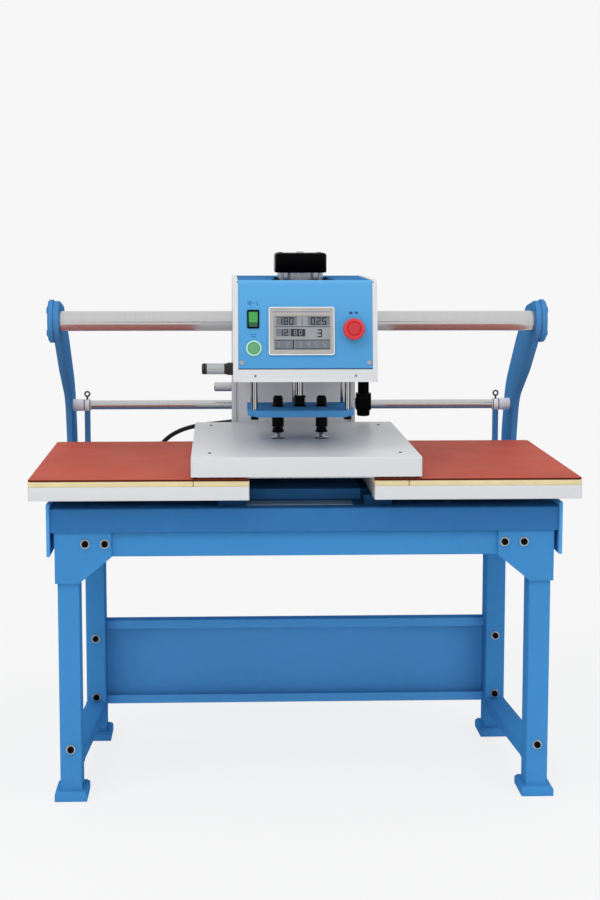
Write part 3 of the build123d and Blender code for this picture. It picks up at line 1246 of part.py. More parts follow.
with BuildPart() as heater_cover:
    with BuildSketch(Plane.XY.offset(COVER_TOP - COVER_SKIRT)):
        with Locations((0, COVER_Y)):
            RectangleRounded(COVER_WIDTH, COVER_DEPTH, COVER_CORNER)
    shell = extrude(amount=COVER_SKIRT)
    fillet(shell.edges().group_by(Axis.Z)[-1], COVER_CORNER / 2)
    with BuildSketch(Plane.XY.offset(COVER_TOP - COVER_SKIRT)):
        with Locations((0, COVER_Y)):
            Rectangle(COVER_WIDTH - 2 * COVER_SHEET, COVER_DEPTH - 2 * COVER_SHEET)
    extrude(amount=COVER_SKIRT - COVER_SHEET, mode=Mode.SUBTRACT)
    add(holes_at([facing_up(x, y, COVER_TOP) for x, y in STUD_PLACES], COVER_SHEET, STUD_RADIUS + SCREW_GAP), mode=Mode.SUBTRACT)
    add(holes_at(COVER_SCREWS, COVER_SHEET, SMALL_SCREW_RADIUS + SCREW_GAP), mode=Mode.SUBTRACT)
save(heater_cover, "heater_cover")

with BuildPart() as cover_screws:
    for plane in COVER_SCREWS:
        add(small_screw_at(plane, COVER_TOP - PLATE_TOP - SCREW_GAP))
save(cover_screws, "cover_screws")

# Glands and the lead between the sliding head and the deck
DECK_GLAND_HEIGHT = DECK_TOP - DECK_SKIRT / 2
DECK_GLAND_FACE = REAR + GLAND_LENGTH
HEAD_GLAND_FACE = COLUMN_REAR - HEAD_SHEET + GLAND_LENGTH
with BuildPart() as head_gland:
    with BuildSketch(Plane.XZ.offset(-(COLUMN_REAR - HEAD_SHEET))):
        with Locations((LEAD_START_X, LEAD_START_HEIGHT)):
            Circle(GLAND_RADIUS)
    extrude(amount=-GLAND_LENGTH)
save(head_gland, "head_gland")

with BuildPart() as deck_gland:
    with BuildSketch(Plane.XZ.offset(-REAR)):
        with Locations((DECK_GLAND_X, DECK_GLAND_HEIGHT)):
            Circle(GLAND_RADIUS)
    extrude(amount=-GLAND_LENGTH)
save(deck_gland, "deck_gland")

# The lead leaves the head to the rear, arcs to the left, hangs in a loop and ends at the deck
LEAD_ROUTE = (
    (LEAD_START_X, HEAD_GLAND_FACE, LEAD_START_HEIGHT),
    (LEAD_START_X, 396, LEAD_START_HEIGHT),
    (-138, 442, 646),
    (-212, 452, 621),
    (-284, 446, 573),
    (-336, 438, 501),
    (-362, 436, 420),
    (-342, 444, 348),
    (-274, 462, 322),
    (-214, 490, 352),
    (-208, 508, 426),
    (-240, 508, 494),
    (DECK_GLAND_X, 468, DECK_GLAND_HEIGHT),
    (DECK_GLAND_X, DECK_GLAND_FACE + TOUCH_GAP, DECK_GLAND_HEIGHT),
)
lead_points = [Vector(*point) for point in LEAD_ROUTE]
lead_runs = [end - start for start, end in zip(lead_points, lead_points[1:])]
lead_radii = []
for before, after in zip(lead_runs, lead_runs[1:]):
    turn = radians(before.get_angle(after))
    lead_radii.append(LEAD_BEND_SHARE * min(before.length, after.length) / tan(turn / 2))
print("lead radii", [round(radius, 1) for radius in lead_radii])
with BuildPart() as lead:
    with BuildLine() as lead_line:
        FilletPolyline(*lead_points, radius=lead_radii)
    with BuildSketch(Plane(origin=lead_points[0], z_dir=lead_runs[0])):
        Circle(LEAD_DIAMETER / 2)
    sweep()
lead_length = sum(edge.length for edge in lead_line.edges())
print("lead length", round(lead_length, 1), "volume", round(lead.part.volume, 1))
print("section times length", round(pi * (LEAD_DIAMETER / 2) ** 2 * lead_length, 1))
save(lead, "lead")
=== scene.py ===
"""Dresses a two-station pneumatic heat press: finishes, boards, mats, lead and small fittings."""
import json
from math import atan2, cos, pi, radians, sin

import bmesh
import bpy
import numpy as np
from bpy.props import FloatProperty, FloatVectorProperty, IntProperty, PointerProperty
from mathutils import Matrix, Vector


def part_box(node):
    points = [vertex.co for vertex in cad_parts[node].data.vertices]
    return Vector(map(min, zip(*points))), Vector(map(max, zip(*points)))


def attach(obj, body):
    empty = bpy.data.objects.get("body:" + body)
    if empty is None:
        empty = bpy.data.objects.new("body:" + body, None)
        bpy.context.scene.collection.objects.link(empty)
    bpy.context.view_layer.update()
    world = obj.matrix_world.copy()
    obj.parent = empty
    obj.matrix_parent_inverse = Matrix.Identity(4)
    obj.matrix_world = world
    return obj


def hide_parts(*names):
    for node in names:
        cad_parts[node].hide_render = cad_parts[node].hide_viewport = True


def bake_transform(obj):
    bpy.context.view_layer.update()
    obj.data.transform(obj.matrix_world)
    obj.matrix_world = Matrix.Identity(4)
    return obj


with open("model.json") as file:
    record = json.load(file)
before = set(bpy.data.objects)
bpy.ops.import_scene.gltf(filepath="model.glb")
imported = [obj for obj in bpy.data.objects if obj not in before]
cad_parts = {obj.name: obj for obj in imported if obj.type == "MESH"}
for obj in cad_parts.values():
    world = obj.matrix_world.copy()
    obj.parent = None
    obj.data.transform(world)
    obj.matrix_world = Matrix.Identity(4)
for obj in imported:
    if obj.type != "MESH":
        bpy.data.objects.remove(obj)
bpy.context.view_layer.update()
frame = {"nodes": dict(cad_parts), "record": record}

bl_info = {
    "name": "Two-station heat press",
    "version": (1, 0, 0),
    "blender": (4, 5, 0),
    "location": "3D View > Sidebar > Heat press",
    "description": "Finishes and fittings of a two-station pneumatic heat press",
    "category": "Object",
}

SIDES = (-1, 1)
X_AXIS, Y_AXIS, Z_AXIS = (1, 0, 0), (0, 1, 0), (0, 0, 1)
FORWARD = (0, -1, 0)
SAME_POINT = 1e-6  # metres within which two points are one
FLAG_DISTANCE = 3.0  # metres from the press to the dark flags
FLAG_HEIGHTS = (0.2, 0.62)


def ink(red, green, blue):
    """Linear colour of an 8-bit display colour: the share of 255, with the display curve undone."""
    share = np.array([red, green, blue]) / 255
    linear = np.where(share <= 0.04045, share / 12.92, ((share + 0.055) / 1.055) ** 2.4)
    return tuple(float(value) for value in linear)


def mm(*rows):
    """Rows of lengths in metres, from rows in millimetres."""
    return [tuple(round(value / 1000, 9) for value in row) for row in rows]


def colour_setting(name, description, rgb):
    return FloatVectorProperty(
        name=name, description=description, subtype="COLOR", size=3, min=0, max=1, default=ink(*rgb)
    )


def length_setting(name, description, default):
    return FloatProperty(
        name=name, description=description, unit="LENGTH", subtype="DISTANCE", min=0, default=default
    )


class PressColours(bpy.types.PropertyGroup):
    """Colours of the press's finishes."""

    stand_blue: colour_setting("Stand blue", "Powder coat of the stand, deck and arms", (66, 136, 194))
    panel_blue: colour_setting("Panel blue", "Lighter coat of the control panel", (86, 157, 208))
    # Cover blue: a darker copy of the panel blue, painted shade on the head's top cover
    cover_blue: colour_setting("Cover blue", "Matt coat of the head's top cover", (64, 122, 176))
    # Arm blue: a darker copy of the stand blue, painted shade on the arms; the arm caps, boss bolts and the
    # posts under the stop collars take it too
    arm_blue: colour_setting("Arm blue", "Matt coat of the swan-neck arms", (70, 128, 182))
    # Deck blue: a darker copy of the stand blue, painted shade on the deck tray and its apron under the
    # platens
    deck_blue: colour_setting("Deck blue", "Coat of the deck tray", (54, 112, 168))
    # Bridge blue: a darker copy of the stand blue, painted shade on the cross channel under the platens
    bridge_blue: colour_setting("Bridge blue", "Coat of the cross channel under the platens", (62, 124, 184))
    # Rear blue: a lighter copy of the stand blue, painted light on the rear channel and the deck's end plates
    rear_blue: colour_setting("Rear blue", "Stand blue lightened as painted light on the rear channel and end plates", (84, 156, 214))
    white_paint: colour_setting("White paint", "Gloss paint of the head and covers", (206, 208, 210))
    # Column grey: lifted above the white paint as painted light in the column's shaded recess
    column_grey: colour_setting("Column grey", "Paint of the recessed column panel", (214, 216, 220))
    board_cream: colour_setting("Board cream", "Sponge boards under the mats", (222, 206, 162))
    mat_red: colour_setting("Mat red", "Silicone mats on the boards", (182, 79, 61))
    key_green: colour_setting("Key green", "Rocker key and start button", (58, 152, 72))
    stop_red: colour_setting("Stop red", "Emergency stop button", (204, 46, 50))
    bezel_ivory: colour_setting("Bezel ivory", "Surround of the display", (166, 162, 158))
    display_grey: colour_setting("Display grey", "Ground of the display", (140, 143, 146))


class PressSizes(bpy.types.PropertyGroup):
    """Sizes of the fittings made here."""

    lead_diameter: length_setting("Lead diameter", "Thickness of the black lead", 0.010)
    boot_length: length_setting("Boot length", "Length of each tapered strain relief", 0.030)
    weld_width: length_setting("Weld width", "Width of the weld beads", 0.0032)
    board_rounding: length_setting("Board rounding", "Rounding of the sponge boards' edges", 0.0016)
    mat_sag: length_setting("Mat waviness", "Height of the mats' faint waves", 0.0005)
    turned_sides: IntProperty(
        name="Turned sides", description="Flats round each turned fitting", min=12, max=96, default=40
    )


# ---- shader maths ----


class Value:
    """A shader socket that takes Python's operators, each of which adds a Math node."""

    def __init__(self, finish, socket):
        self.finish = finish
        self.socket = socket

    def maths(self, operation, first, second=0.0):
        return self.finish.node("ShaderNodeMath", {"operation": operation}, {0: first, 1: second})

    def __add__(self, other):
        return self.maths("ADD", self, other)

    __radd__ = __add__

    def __sub__(self, other):
        return self.maths("SUBTRACT", self, other)

    def __rsub__(self, other):
        return self.maths("SUBTRACT", other, self)

    def __mul__(self, other):
        return self.maths("MULTIPLY", self, other)

    def __gt__(self, other):
        return self.maths("GREATER_THAN", self, other)

    def __lt__(self, other):
        return self.maths("LESS_THAN", self, other)

    def sine(self):
        return self.maths("SINE", self)

    def size(self):
        return self.maths("ABSOLUTE", self)

    def eased(self, low, high):
        """0 below low, 1 above high, with a smooth step between."""
        settings = {"interpolation_type": "SMOOTHSTEP"}
        inputs = {"Value": self, "From Min": low, "From Max": high}
        return self.finish.node("ShaderNodeMapRange", settings, inputs)


class Nodes:
    """A node tree that takes one node at a time."""

    def __init__(self, tree):
        self.tree = tree

    def node(self, kind, settings, inputs, out=0):
        """Adds one node: its type, its settings, then values or links for its inputs."""
        made = self.tree.nodes.new(kind)
        for key, value in settings.items():
            setattr(made, key, value)
        for key, value in inputs.items():
            if isinstance(value, Value):
                self.tree.links.new(value.socket, made.inputs[key])
            else:
                made.inputs[key].default_value = value
        return Value(self, made.outputs[out])

    def backdrop(self, lit, shade, kind, share, output):
        """What the camera, gloss and glass see of the surroundings: mostly a plain pale light."""
        seen = ("Is Camera Ray", "Is Glossy Ray", "Is Transmission Ray")
        camera, gloss, glass = (self.node("ShaderNodeLightPath", {}, {}, name) for name in seen)
        rays = self.node("ShaderNodeClamp", {}, {"Value": camera + gloss + glass})
        pale = self.node(kind, {}, {"Color": shade, "Strength": 1.0})
        mixed = self.node("ShaderNodeMixShader", {}, {0: rays * share, 1: lit, 2: pale})
        self.tree.links.new(mixed.socket, self.tree.nodes[output].inputs["Surface"])


class Finish(Nodes):
    """One finish: a Principled shader and the nodes that vary it over the surface."""

    def __init__(self, name, colour, roughness=0.5, metallic=0.0, coat=0.0, specular=0.5):
        self.material = bpy.data.materials.new(name)
        self.material.use_nodes = True
        self.material.diffuse_color = (*colour, 1)
        super().__init__(self.material.node_tree)
        self.shader = self.tree.nodes["Principled BSDF"]
        self.colour = (*colour, 1)
        self.set("Base Color", self.colour)
        self.set("Roughness", roughness)
        self.set("Metallic", metallic)
        self.set("Coat Weight", coat)
        self.set("Coat Roughness", 0.08)
        self.set("Specular IOR Level", specular)
        self.height = None

    def set(self, socket, value):
        if isinstance(value, Value):
            self.tree.links.new(value.socket, self.shader.inputs[socket])
        else:
            self.shader.inputs[socket].default_value = value

    def place(self):
        return self.node("ShaderNodeTexCoord", {}, {}, "Object")

    def axis(self, name):
        return self.node("ShaderNodeSeparateXYZ", {}, {0: self.place()}, name)

    def stretched(self, scale):
        inputs = {"Vector": self.place(), "Scale": scale}
        return self.node("ShaderNodeMapping", {"vector_type": "POINT"}, inputs)

    def noise(self, scale, detail=3.0, stretch=None):
        vector = self.stretched(stretch) if stretch else self.place()
        inputs = {"Vector": vector, "Scale": scale, "Detail": detail}
        return self.node("ShaderNodeTexNoise", {}, inputs, "Fac")

    def cells(self, scale):
        inputs = {"Vector": self.place(), "Scale": scale}
        return self.node("ShaderNodeTexVoronoi", {"feature": "F1"}, inputs, "Distance")

    def blend(self, share, first, second):
        """Colour that goes from first to second with share."""
        inputs = {0: share, 6: first, 7: second}
        return self.node("ShaderNodeMix", {"data_type": "RGBA"}, inputs, 2)

    def tinted(self, share, strength, base=None):
        """Base colour darkened a little where share is low and lifted where it is high."""
        base = self.colour if base is None else base
        dark = tuple(max(0.0, c * (1 - strength)) for c in base[:3]) + (1,)
        light = tuple(min(1.0, c * (1 + strength * 0.7)) for c in base[:3]) + (1,)
        return self.blend(share.eased(0.3, 0.7), dark, light)

    def mottle(self):
        """Broad clouds with a little fine grain in them."""
        return self.noise(3.0, 3.0) * 0.7 + self.noise(60.0, 2.0) * 0.3

    def relief(self, height, distance, strength):
        """Bump of that height in metres, added to what is there."""
        inputs = {"Height": height, "Distance": distance, "Strength": strength}
        if self.height is not None:
            inputs["Normal"] = self.height
        self.height = self.node("ShaderNodeBump", {}, inputs)
        self.set("Normal", self.height)


FLAT_COAT = (0.42, 0.0, 0.6, 0.05, 0.0)  # roughness, coat, peel, tone and specular of the stand's paint


def coated_steel(name, colour, roughness, coat, peel=0.6, tone=0.05, specular=0.22, wear=0.16):
    """Paint on steel: faint orange peel, soft tone changes and a little dust on top."""
    finish = Finish(name, colour, roughness, coat=coat, specular=specular)
    finish.set("Base Color", finish.tinted(finish.mottle(), tone))
    finish.set("Roughness", roughness + (finish.noise(22.0, 4.0) - 0.5) * wear)
    finish.relief(finish.noise(420.0, 1.0), 0.00012, peel)
    return finish


# The support blocks within these bounds take painted shade
BLOCK_INNER, BLOCK_TOP = 0.1085, 0.5712  # where the support blocks under the cross channel lie
POST_TOP = 0.6682  # height at which a stop collar's post ends
GRIP_BARREL = (-0.1815, -0.1485)  # the bright barrel of the side handle, along x
KEY_SHADE = (0.8893, 0.8903)  # heights between which the rocker's shade fades


def bridge_coat(name, colour):
    """Paint of the cross channel, with painted shade on the two support blocks under it: a much deeper tone.
    """
    finish = coated_steel(name, colour, *FLAT_COAT)
    shaded_block = (finish.axis("X").size() > BLOCK_INNER) * (finish.axis("Z") < BLOCK_TOP)
    # painted shade: the blocks take three tenths of the coat's colour
    painted_shade = tuple(channel * 0.3 for channel in colour)
    mottle = finish.tinted(finish.mottle(), 0.05)
    finish.set("Base Color", finish.blend(shaded_block, mottle, (*painted_shade, 1)))
    return finish


def collar_coat(name, colour, post_colour):
    """White paint of the stop collars over the blue of the posts that carry them."""
    finish = coated_steel(name, colour, 0.4, 0.0, 0.1, 0.02, 0.1, 0.06)
    mottle = finish.noise(60.0, 2.0)
    post = finish.tinted(mottle, 0.05, post_colour)
    finish.set("Base Color", finish.blend(finish.axis("Z") < POST_TOP, finish.tinted(mottle, 0.02), post))
    return finish


def panel_coat(name, colour):
    """Paint of the sloping panel, with painted shade deepening it towards its lower edge and a painted
    highlight along its top bend.
    """
    finish = coated_steel(name, colour, 0.38, 0.0, 0.4, 0.03, 0.06)
    height = finish.axis("Z")
    # painted shade of the panel's lower part
    painted_shade = tuple(channel * share for channel, share in zip(colour, (0.80, 0.86, 0.90)))
    # painted highlight along the top bend; the mottle also lifts the paint a little towards it
    pale = tuple(min(1.0, channel * share) for channel, share in zip(colour, (1.35, 1.16, 1.10)))
    lower = finish.blend(height.eased(0.80, 0.95), (*painted_shade, 1), finish.colour)
    shade_and_highlight = finish.blend(height.eased(0.956, 0.966), lower, (*pale, 1))
    finish.set("Base Color", finish.blend(finish.mottle().eased(0.3, 0.7) * 0.06, shade_and_highlight, (*pale, 1)))
    return finish


def ground_metal(name, colour, roughness, stretch, lines=0.1, spots=0.04, metallic=1.0):
    """Bare or plated metal with fine grinding lines across the stretched direction."""
    finish = Finish(name, colour, roughness, metallic=metallic)
    line = finish.noise(1.0, 4.0, stretch)
    cloud = finish.noise(9.0, 3.0)
    finish.set("Roughness", roughness + (line - 0.5) * lines + (cloud - 0.5) * spots)
    finish.set("Base Color", finish.tinted(line * 0.6 + cloud * 0.4, lines))
    finish.relief(line, 0.000004, lines)
    return finish


def moulded(name, colour, roughness, coat=0.0, specular=0.4, grain=900.0, depth=0.00005, tone=0.06):
    """Moulded plastic or rubber: an even spark grain with faint flow marks."""
    finish = Finish(name, colour, roughness, coat=coat, specular=specular)
    finish.set("Base Color", finish.tinted(finish.noise(35.0, 3.0), tone))
    finish.set("Roughness", roughness + (finish.noise(120.0, 2.0) - 0.5) * 0.12)
    finish.relief(finish.cells(grain), depth, 0.6)
    return finish


def sponge_board(name, colour):
    """Cream silicone sponge: open pores of two sizes and a dusty tone."""
    finish = Finish(name, colour, 0.85, specular=0.1)
    pores = finish.cells(1400.0)
    finish.set("Base Color", finish.tinted(finish.noise(28.0, 4.0) * 0.6 + pores * 0.4, 0.10))
    finish.relief(pores, 0.00025, 0.7)
    finish.relief(finish.noise(500.0, 2.0), 0.0001, 0.5)
    return finish


RIB_PITCH = 0.0016
MAT_SHADE_DEPTH = 0.0007  # depth below the mat's top at which the painted shade of its sides begins


def woven_mat(name, colour):
    """Red silicone over glass cloth: two crossed ribs under a satin skin, with painted shade in dark brown
    down its sides.
    """
    finish = Finish(name, colour, 0.6, specular=0.08)
    warp, weft = ((finish.axis(name) * (2 * pi / RIB_PITCH)).sine() for name in "XY")
    face = finish.tinted(finish.noise(6.0, 4.0) * 0.7 + finish.noise(90.0, 2.0) * 0.3, 0.09)
    # painted shade: the mat's sides below its top are coloured dark brown
    edge = finish.axis("Z") < float(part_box("mat_left")[1][2]) - MAT_SHADE_DEPTH
    finish.set("Base Color", finish.blend(edge, face, (*ink(80, 27, 20), 1)))
    finish.set("Roughness", 0.6 + (finish.noise(14.0, 3.0) - 0.5) * 0.2)
    finish.relief(warp * weft, 0.00008, 0.5)
    return finish


def handle_grip(name):
    """The side handle: a black end and flange with a bright turned barrel between."""
    bright = ink(190, 192, 196)
    finish = Finish(name, bright, 0.25, metallic=1.0)
    x = finish.axis("X")
    barrel = (x > GRIP_BARREL[0]) * (x < GRIP_BARREL[1])
    finish.set("Base Color", finish.blend(barrel, (*ink(22, 22, 24), 1), (*bright, 1)))
    finish.set("Metallic", barrel * 1.0)
    finish.set("Roughness", 0.42 - barrel * 0.17 + (finish.noise(1.0, 3.0, (900.0, 30.0, 30.0)) - 0.5) * 0.1)
    finish.relief(finish.noise(1.0, 3.0, (1400.0, 20.0, 20.0)), 0.00003, 0.5)
    return finish


def rocker_key(name, colour):
    """Green rocker whose pressed lower end lies in shade behind its frame."""
    finish = Finish(name, colour, 0.26, coat=0.1)
    low = 1 - finish.axis("Z").eased(*KEY_SHADE)
    mottled = finish.tinted(finish.noise(35.0, 3.0), 0.05)
    finish.set("Base Color", finish.blend(low * 0.85, mottled, (*ink(14, 62, 40), 1)))
    finish.set("Roughness", 0.26 + (finish.noise(120.0, 2.0) - 0.5) * 0.12)
    finish.relief(finish.cells(900.0), 0.00003, 0.5)
    return finish


FINISHES = {}


def finish_of(name):
    return FINISHES[name].material


FINE_GRAIN = (2500.0, 0.00001)  # cells a metre, and their depth in metres


def make_finishes(colours):
    """One finish for each record slot, and a few for parts of a slot."""
    for key, name, colour, *rest in (
        ("stand_blue", "stand powder coat", colours.stand_blue, *FLAT_COAT),
        # top cover: darkened copy of the panel blue, as painted shade
        ("cover_blue", "top cover powder coat", colours.cover_blue, 0.6, 0.0, 0.4, 0.03, 0.0),
        # arms: darkened copy of the stand blue, as painted shade
        ("arm_blue", "arm powder coat", colours.arm_blue, 0.6, 0.0, 0.5, 0.04, 0.0),
        # deck tray: darkened copy of the stand blue, as painted shade
        ("deck_blue", "deck powder coat", colours.deck_blue, *FLAT_COAT),
        # rear channel and end plates: lightened copy of the stand blue, as painted light
        ("rear_blue", "rear powder coat", colours.rear_blue, *FLAT_COAT),
        ("white_paint", "white gloss paint", colours.white_paint, 0.36, 0.05, 0.05, 0.012, 0.18, 0.04),
        ("spacer_white", "white spacer paint", ink(250, 250, 250), 0.4, 0.0, 0.1, 0.02, 0.15, 0.06),
        # column: lifted above the white paint, as painted light
        ("column_paint", "column grey paint", colours.column_grey, 0.34, 0.0, 0.3, 0.03),
        # cross plate: lightened copy of the stand blue, as painted light
        ("cross_blue", "cross plate powder coat", ink(82, 150, 210), *FLAT_COAT),
        # deck plate: its pale colour is lifted as painted light
        ("deck_plate", "deck plate", ink(150, 176, 200), 0.34, 0.0, 0.3, 0.06),
    ):
        FINISHES[key] = coated_steel(name, colour, *rest)
    for key, name, colour, *rest in (
        ("chrome", "chromed rail", ink(199, 199, 199), 0.16, (500, 4, 4), 0.03, 0.04, 0.75),
        ("upright_chrome", "chromed upright", ink(196, 196, 198), 0.08, (4, 4, 500), 0.05),
        ("zinc_steel", "zinc plated steel", ink(190, 192, 195), 0.34, (240, 240, 240), 0.12),
        ("eye_steel", "dark plated wire", ink(112, 112, 114), 0.3, (240, 240, 240), 0.12),
        ("black_steel", "black oxide steel", ink(22, 22, 24), 0.42, (300, 300, 300), 0.15),
        ("aluminium", "anodised aluminium", ink(184, 185, 188), 0.28, (220, 220, 10), 0.08),
        ("bush_steel", "ground bush steel", ink(150, 151, 154), 0.28, (300, 300, 40), 0.1),
    ):
        FINISHES[key] = ground_metal(name, colour, *rest)
    for key, name, colour, *rest in (
        ("black_cap", "black satin moulding", ink(3, 3, 4), 0.24, 0.0, 0.04),
        ("bezel_plastic", "ivory moulding", colours.bezel_ivory, 0.42),
        ("green_plastic", "green moulding", colours.key_green, 0.26, 0.1),
        ("button_green", "pale green moulding", ink(92, 154, 110), 0.26, 0.1),
        ("green_ring", "pale green ring", ink(172, 222, 194), 0.3, 0.1),
        ("red_plastic", "red moulding", colours.stop_red, 0.32, 0.1),
        ("red_disc", "dark red moulding", ink(184, 38, 46), 0.34, 0.1),
        ("lead_rubber", "black rubber sheath", ink(22, 22, 23), 0.5, 0.0, 0.3, 1200.0, 0.00008),
        ("display_glass", "display ground", colours.display_grey, 0.25, 0.1, 0.4, *FINE_GRAIN, 0.05),
        ("display_ink", "display figures", ink(30, 34, 44), 0.5, 0.0, 0.4, *FINE_GRAIN),
        ("display_shade", "display shading", ink(104, 109, 117), 0.4, 0.0, 0.4, *FINE_GRAIN),
        ("bright_edge", "bright edging", ink(244, 244, 246), 0.3, 0.0, 0.4, *FINE_GRAIN),
        ("marking_ink", "panel marking", ink(36, 64, 130), 0.5, 0.0, 0.4, *FINE_GRAIN),
        ("seam_shade", "panel seams", ink(22, 54, 96), 0.6, 0.0, 0.4, *FINE_GRAIN),
    ):
        FINISHES[key] = moulded(name, colour, *rest)
    for key, make, *rest in (
        ("panel_blue", panel_coat, "panel powder coat", colours.panel_blue),
        # cross channel: darkened copy of the stand blue, as painted shade
        ("bridge_blue", bridge_coat, "bridge powder coat", colours.bridge_blue),
        # the posts under the collars take the arm blue and its painted shade
        ("collar_paint", collar_coat, "stop collar paint", ink(250, 250, 250), colours.arm_blue),
        ("pad_cream", sponge_board, "cream sponge board", colours.board_cream),
        ("mat_red", woven_mat, "red silicone mat", colours.mat_red),
        ("rocker_green", rocker_key, "rocker key", colours.key_green),
        ("handle_grip", handle_grip, "side handle"),
    ):
        FINISHES[key] = make(*rest)


# ---- surfaces ----


def turned_rings(profile, sides):
    """Surface of revolution: at angle a and profile point (r, h) the point is (r cos a, r sin a, h)."""
    r, h = np.array(profile, float).T
    a = np.linspace(0, 2 * pi, sides, endpoint=False)
    flat = np.broadcast_to(h[:, None], (len(h), sides))
    return np.stack([np.outer(r, np.cos(a)), np.outer(r, np.sin(a)), flat], -1)


def plate_rings(width, depth, corner, levels, steps=6):
    """Plate with round corners: at angle a a corner's point is its centre plus
    (corner - inset)(cos a, sin a). levels holds each ring's inset and height."""
    inset, height = np.array(levels, float).T
    a = (np.arange(4)[:, None] * pi / 2 + np.linspace(0, pi / 2, steps)).ravel()
    sign_x = np.repeat([1, -1, -1, 1], steps)
    sign_y = np.repeat([1, 1, -1, -1], steps)
    radius = np.maximum(corner - inset, 0.0001)[:, None]
    half_x = (width / 2 - inset)[:, None] - radius
    half_y = (depth / 2 - inset)[:, None] - radius
    x = sign_x * half_x + radius * np.cos(a)
    y = sign_y * half_y + radius * np.sin(a)
    return np.stack([x, y, np.broadcast_to(height[:, None], x.shape)], -1)


def tube_rings(path, radius, sides):
    """Round tube: at path point p and angle a the point is p + r(cos a side + sin a up), with a frame that
    turns only as the path does."""
    path = np.asarray(path, float)
    run = np.gradient(path, axis=0)
    run /= np.linalg.norm(run, axis=1)[:, None]
    up = np.array([0.0, 0.0, 1.0]) if abs(run[0, 2]) < 0.9 else np.array([1.0, 0.0, 0.0])
    sides_of = []
    for direction in run:
        up = up - direction * (up @ direction)
        up /= np.linalg.norm(up)
        sides_of.append(up)
    up = np.array(sides_of)
    across = np.cross(run, up)
    a = np.linspace(0, 2 * pi, sides, endpoint=False)
    radius = np.broadcast_to(radius, len(path))[:, None, None]
    ring = across[:, None] * np.cos(a)[None, :, None] + up[:, None] * np.sin(a)[None, :, None]
    return path[:, None] + radius * ring


def placed(rings, origin, x_axis=(1, 0, 0), z_axis=(0, 0, 1)):
    """Rings moved so that their own x and z run along the given axes from origin."""
    x = np.array(x_axis, float)
    z = np.array(z_axis, float)
    y = np.cross(z, x)
    return np.asarray(origin, float) + rings @ np.array([x, y, z])


def cleaned(mesh, finish, smooth, bevel=0.0):
    """Mesh with its points merged, its long sharp edges rounded off by bevel with two faces each, and shaded
    smooth except where faces meet at more than smooth degrees."""
    shell = bmesh.new()
    shell.from_mesh(mesh)
    bmesh.ops.remove_doubles(shell, verts=shell.verts, dist=SAME_POINT)
    if bevel:
        bmesh.ops.dissolve_limit(shell, angle_limit=radians(0.4), verts=shell.verts, edges=shell.edges)
        inner = [edge for edge in shell.edges if edge.is_manifold]
        sharp = [edge for edge in inner if edge.calc_face_angle() > 0.6 and edge.calc_length() > bevel * 3]
        bmesh.ops.bevel(
            shell, geom=sharp, offset=bevel, offset_type="OFFSET", segments=2, profile=0.6, affect="EDGES",
            clamp_overlap=True,
        )
    bmesh.ops.recalc_face_normals(shell, faces=shell.faces)
    shell.to_mesh(mesh)
    shell.free()
    mesh.polygons.foreach_set("use_smooth", np.ones(len(mesh.polygons), bool))
    mesh.set_sharp_from_angle(angle=radians(smooth))
    mesh.materials.clear()
    mesh.materials.append(finish_of(finish))


def middle_of(low, high, z=0):
    """Middle of a box in plan, at height z."""
    return np.array([(low[0] + high[0]) / 2, (low[1] + high[1]) / 2, z])


class Shells:
    """Closed shells collected into one mesh."""

    def __init__(self):
        self.points = []
        self.faces = []
        self.count = 0

    def add(self, rings, caps=True):
        rings = np.asarray(rings, float)
        many, around = rings.shape[:2]
        index = np.arange(many * around).reshape(many, around) + self.count
        nxt = np.roll(index, -1, axis=1)
        quads = np.stack([index[:-1], nxt[:-1], nxt[1:], index[1:]], -1).reshape(-1, 4)
        self.faces += quads.tolist()
        if caps:
            self.faces += [index[0][::-1].tolist(), index[-1].tolist()]
        self.points.append(rings.reshape(-1, 3))
        self.count += many * around
        return self

    def turn(self, profile, sides, origin, x_axis=X_AXIS, z_axis=Z_AXIS, closed=False):
        """Adds a turned shell. A closed profile runs back to its first point and needs no caps."""
        profile = profile + profile[:1] if closed else profile
        return self.add(placed(turned_rings(profile, sides), origin, x_axis, z_axis), not closed)

    def piece(self, name, finish, body, slot, nodes=(), smooth=40.0):
        mesh = bpy.data.meshes.new(name)
        mesh.from_pydata(np.concatenate(self.points).tolist(), [], self.faces)
        cleaned(mesh, finish, smooth)
        made = bpy.data.objects.new(name, mesh)
        bpy.context.collection.objects.link(made)
        if body:
            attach(made, body)
        if nodes:
            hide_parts(*nodes)
        return made


def body_of(node):
    return next(name for name, nodes in frame["record"]["behaviour"]["bodies"].items() if node in nodes)


def slot_of(node):
    return next(part["material_slot"] for part in frame["record"]["subparts"] if part["node"] == node)


def eased(node, width, finish=None, smooth=32.0):
    """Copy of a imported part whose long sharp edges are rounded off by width."""
    mesh = frame["nodes"][node].data.copy()
    mesh.name = f"{node}_eased"
    cleaned(mesh, finish or slot_of(node), smooth, width)
    made = bpy.data.objects.new(f"{node}_eased", mesh)
    bpy.context.collection.objects.link(made)
    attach(made, body_of(node))
    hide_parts(node)
    return made


# Painted steel parts with the rounding of their edges, in metres
EASED_PARTS = {
    "front_legs": 0.0009, "rear_legs": 0.0009, "front_beam": 0.0012, "side_braces": 0.0008,
    "rear_panel": 0.0008, "deck_tray": 0.0008, "deck_ends": 0.0008, "platen_bridge": 0.0006,
    "platen_base_left": 0.0009, "platen_base_right": 0.0009, "arm_left": 0.0010, "arm_right": 0.0010,
    "side_plate_left": 0.0010, "side_plate_right": 0.0010, "base_plate": 0.0008, "top_cover": 0.0006,
    "control_panel": 0.0006, "back_cover": 0.0006, "cross_plate": 0.0012, "heater_cover": 0.0009,
    "rocker_frame": 0.0005, "estop_collar": 0.0005, "regulator_body": 0.0006,
}

